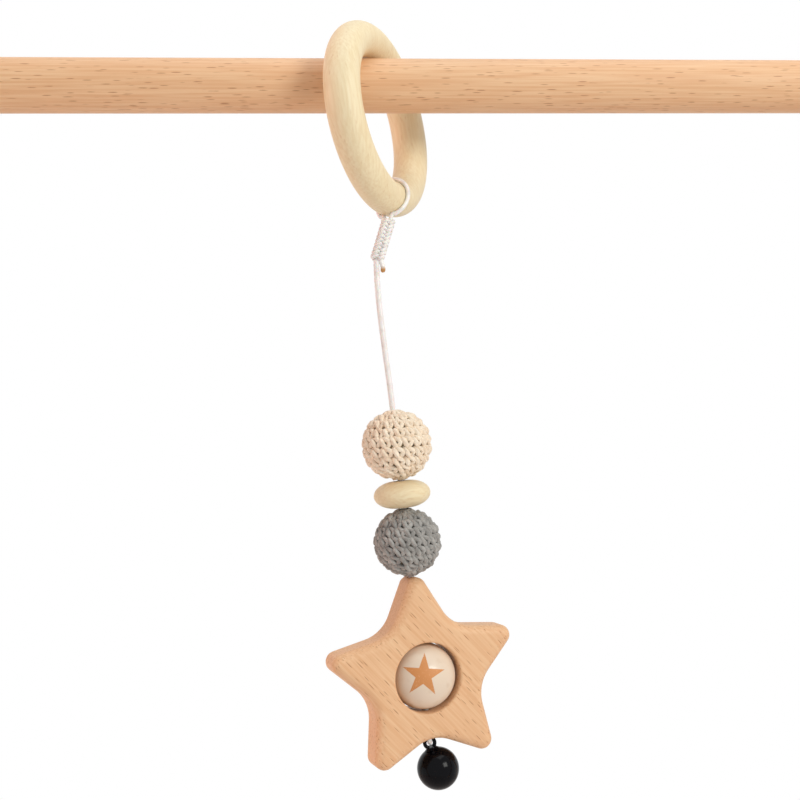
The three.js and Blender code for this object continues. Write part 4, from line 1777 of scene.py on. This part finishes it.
@dataclass
class Studio:
    """The pale floor, the white surroundings, the lamps and the camera."""

    lens: float = 54.0
    sensor: float = 36.0
    camera_place: Triple = (-0.03567, -0.42560, 0.35446)
    camera_right: Triple = (0.99509, -0.09594, -0.02425)
    camera_up: Triple = (0.02336, -0.01031, 0.99967)
    floor_radius: float = 6.0
    floor_tone: float = 0.9
    shadow_radius: float = 0.42
    white_radius: float = 0.62
    sky_light: float = 0.37
    toy: Triple = (0.01, 0.0, 0.34)
    lamps: tuple[Lamp, ...] = (
        Lamp("key", (0.8, -0.95, 0.9), 0.5, 9.6, (1.0, 1.0, 0.95)),
        Lamp("warm side", (-1.0, 0.02, 0.62), 0.4, 6.0, (1.0, 0.58, 0.46)),
        Lamp("top", (0.15, -0.1, 1.6), 0.9, 5.5, (1.0, 1.0, 1.0)),
    )

    def white_to_eye(self, nodes: Nodes) -> bpy.types.NodeSocket:
        """Adds nodes that give 1 to rays from the eye, from a mirror or through glass, and 0 to others.

        Args:
            nodes: the tree that they are added to.

        Returns:
            The socket with the 1 or the 0.
        """
        path = nodes.node("ShaderNodeLightPath")
        total = path.outputs["Is Camera Ray"]
        for name in ("Is Glossy Ray", "Is Transmission Ray"):
            total = nodes.node("ShaderNodeMath", {0: total, 1: path.outputs[name]}, operation="MAXIMUM").outputs[0]
        return total

    def build_world(self) -> None:
        """Makes the surroundings white to the eye, and a plain soft light to the gym."""
        world = bpy.data.worlds.new("studio")
        world.use_nodes = True
        bpy.context.scene.world = world
        nodes = Nodes(world.node_tree)
        light = nodes.tree.nodes["Background"]
        nodes.set(light, "Strength", self.sky_light)
        nodes.set(light, "Color", WHITE)
        white = nodes.node("ShaderNodeBackground", {"Color": WHITE})
        share = self.white_to_eye(nodes)
        mix = nodes.node("ShaderNodeMixShader", {0: share, 1: light.outputs[0], 2: white.outputs[0]})
        nodes.set(nodes.tree.nodes["World Output"], 0, mix.outputs[0])

    def build_floor(self) -> None:
        """Builds the floor, which holds shadows near the gym and is plain white further away."""
        shape = Mesher()
        shape.cap(shape.level(circle(self.floor_radius, count=64), 0, Matrix()))
        floor = shape.piece("floor")
        graph = Graph("floor")
        pale = (self.floor_tone, self.floor_tone, self.floor_tone, 1)
        floor.data.materials.append(graph.finish(Base_Color=pale, Roughness=0.9, Specular_IOR_Level=0.1))
        distance = graph.node("ShaderNodeVectorMath", {0: graph.place}, operation="LENGTH")
        far = graph.between(distance.outputs["Value"], self.shadow_radius, self.white_radius)
        share = graph.times(far, self.white_to_eye(graph))
        glow = graph.node("ShaderNodeEmission")
        mix = graph.node("ShaderNodeMixShader", {0: share, 1: graph.surface.outputs[0], 2: glow.outputs[0]})
        graph.set(graph.tree.nodes["Material Output"], 0, mix.outputs[0])

    def build_camera(self) -> None:
        """Puts the camera where the photograph was taken from."""
        data = bpy.data.cameras.new("camera")
        data.lens = self.lens
        data.sensor_width = self.sensor
        data.clip_start = 10 * MM
        camera = bpy.data.objects.new("camera", data)
        right, up = Vector(self.camera_right), Vector(self.camera_up)
        turn = Matrix((right, up, right.cross(up))).transposed().to_4x4()
        camera.matrix_world = Matrix.Translation(Vector(self.camera_place)) @ turn
        bpy.context.scene.collection.objects.link(camera)
        bpy.context.scene.camera = camera

    def build(self) -> None:
        """Builds the studio."""
        bpy.context.scene.view_settings.view_transform = "Standard"
        self.build_camera()
        self.build_world()
        self.build_floor()
        for lamp in self.lamps:
            lamp.build(Vector(self.toy))


def main() -> None:
    """Builds the studio and the gym, in order."""
    logging.basicConfig(level=logging.INFO, format="%(name)s: %(message)s")
    Studio().build()
    ring = HangingRing()
    LaceRun(ring).build()
    Crossbar().build()
    for side in Side:
        EndFrame(side).build()
    ring.build()
    BeadRow().build()
    StarToy().build()
    JingleBell().build()


if __name__ == "__main__":
    main()
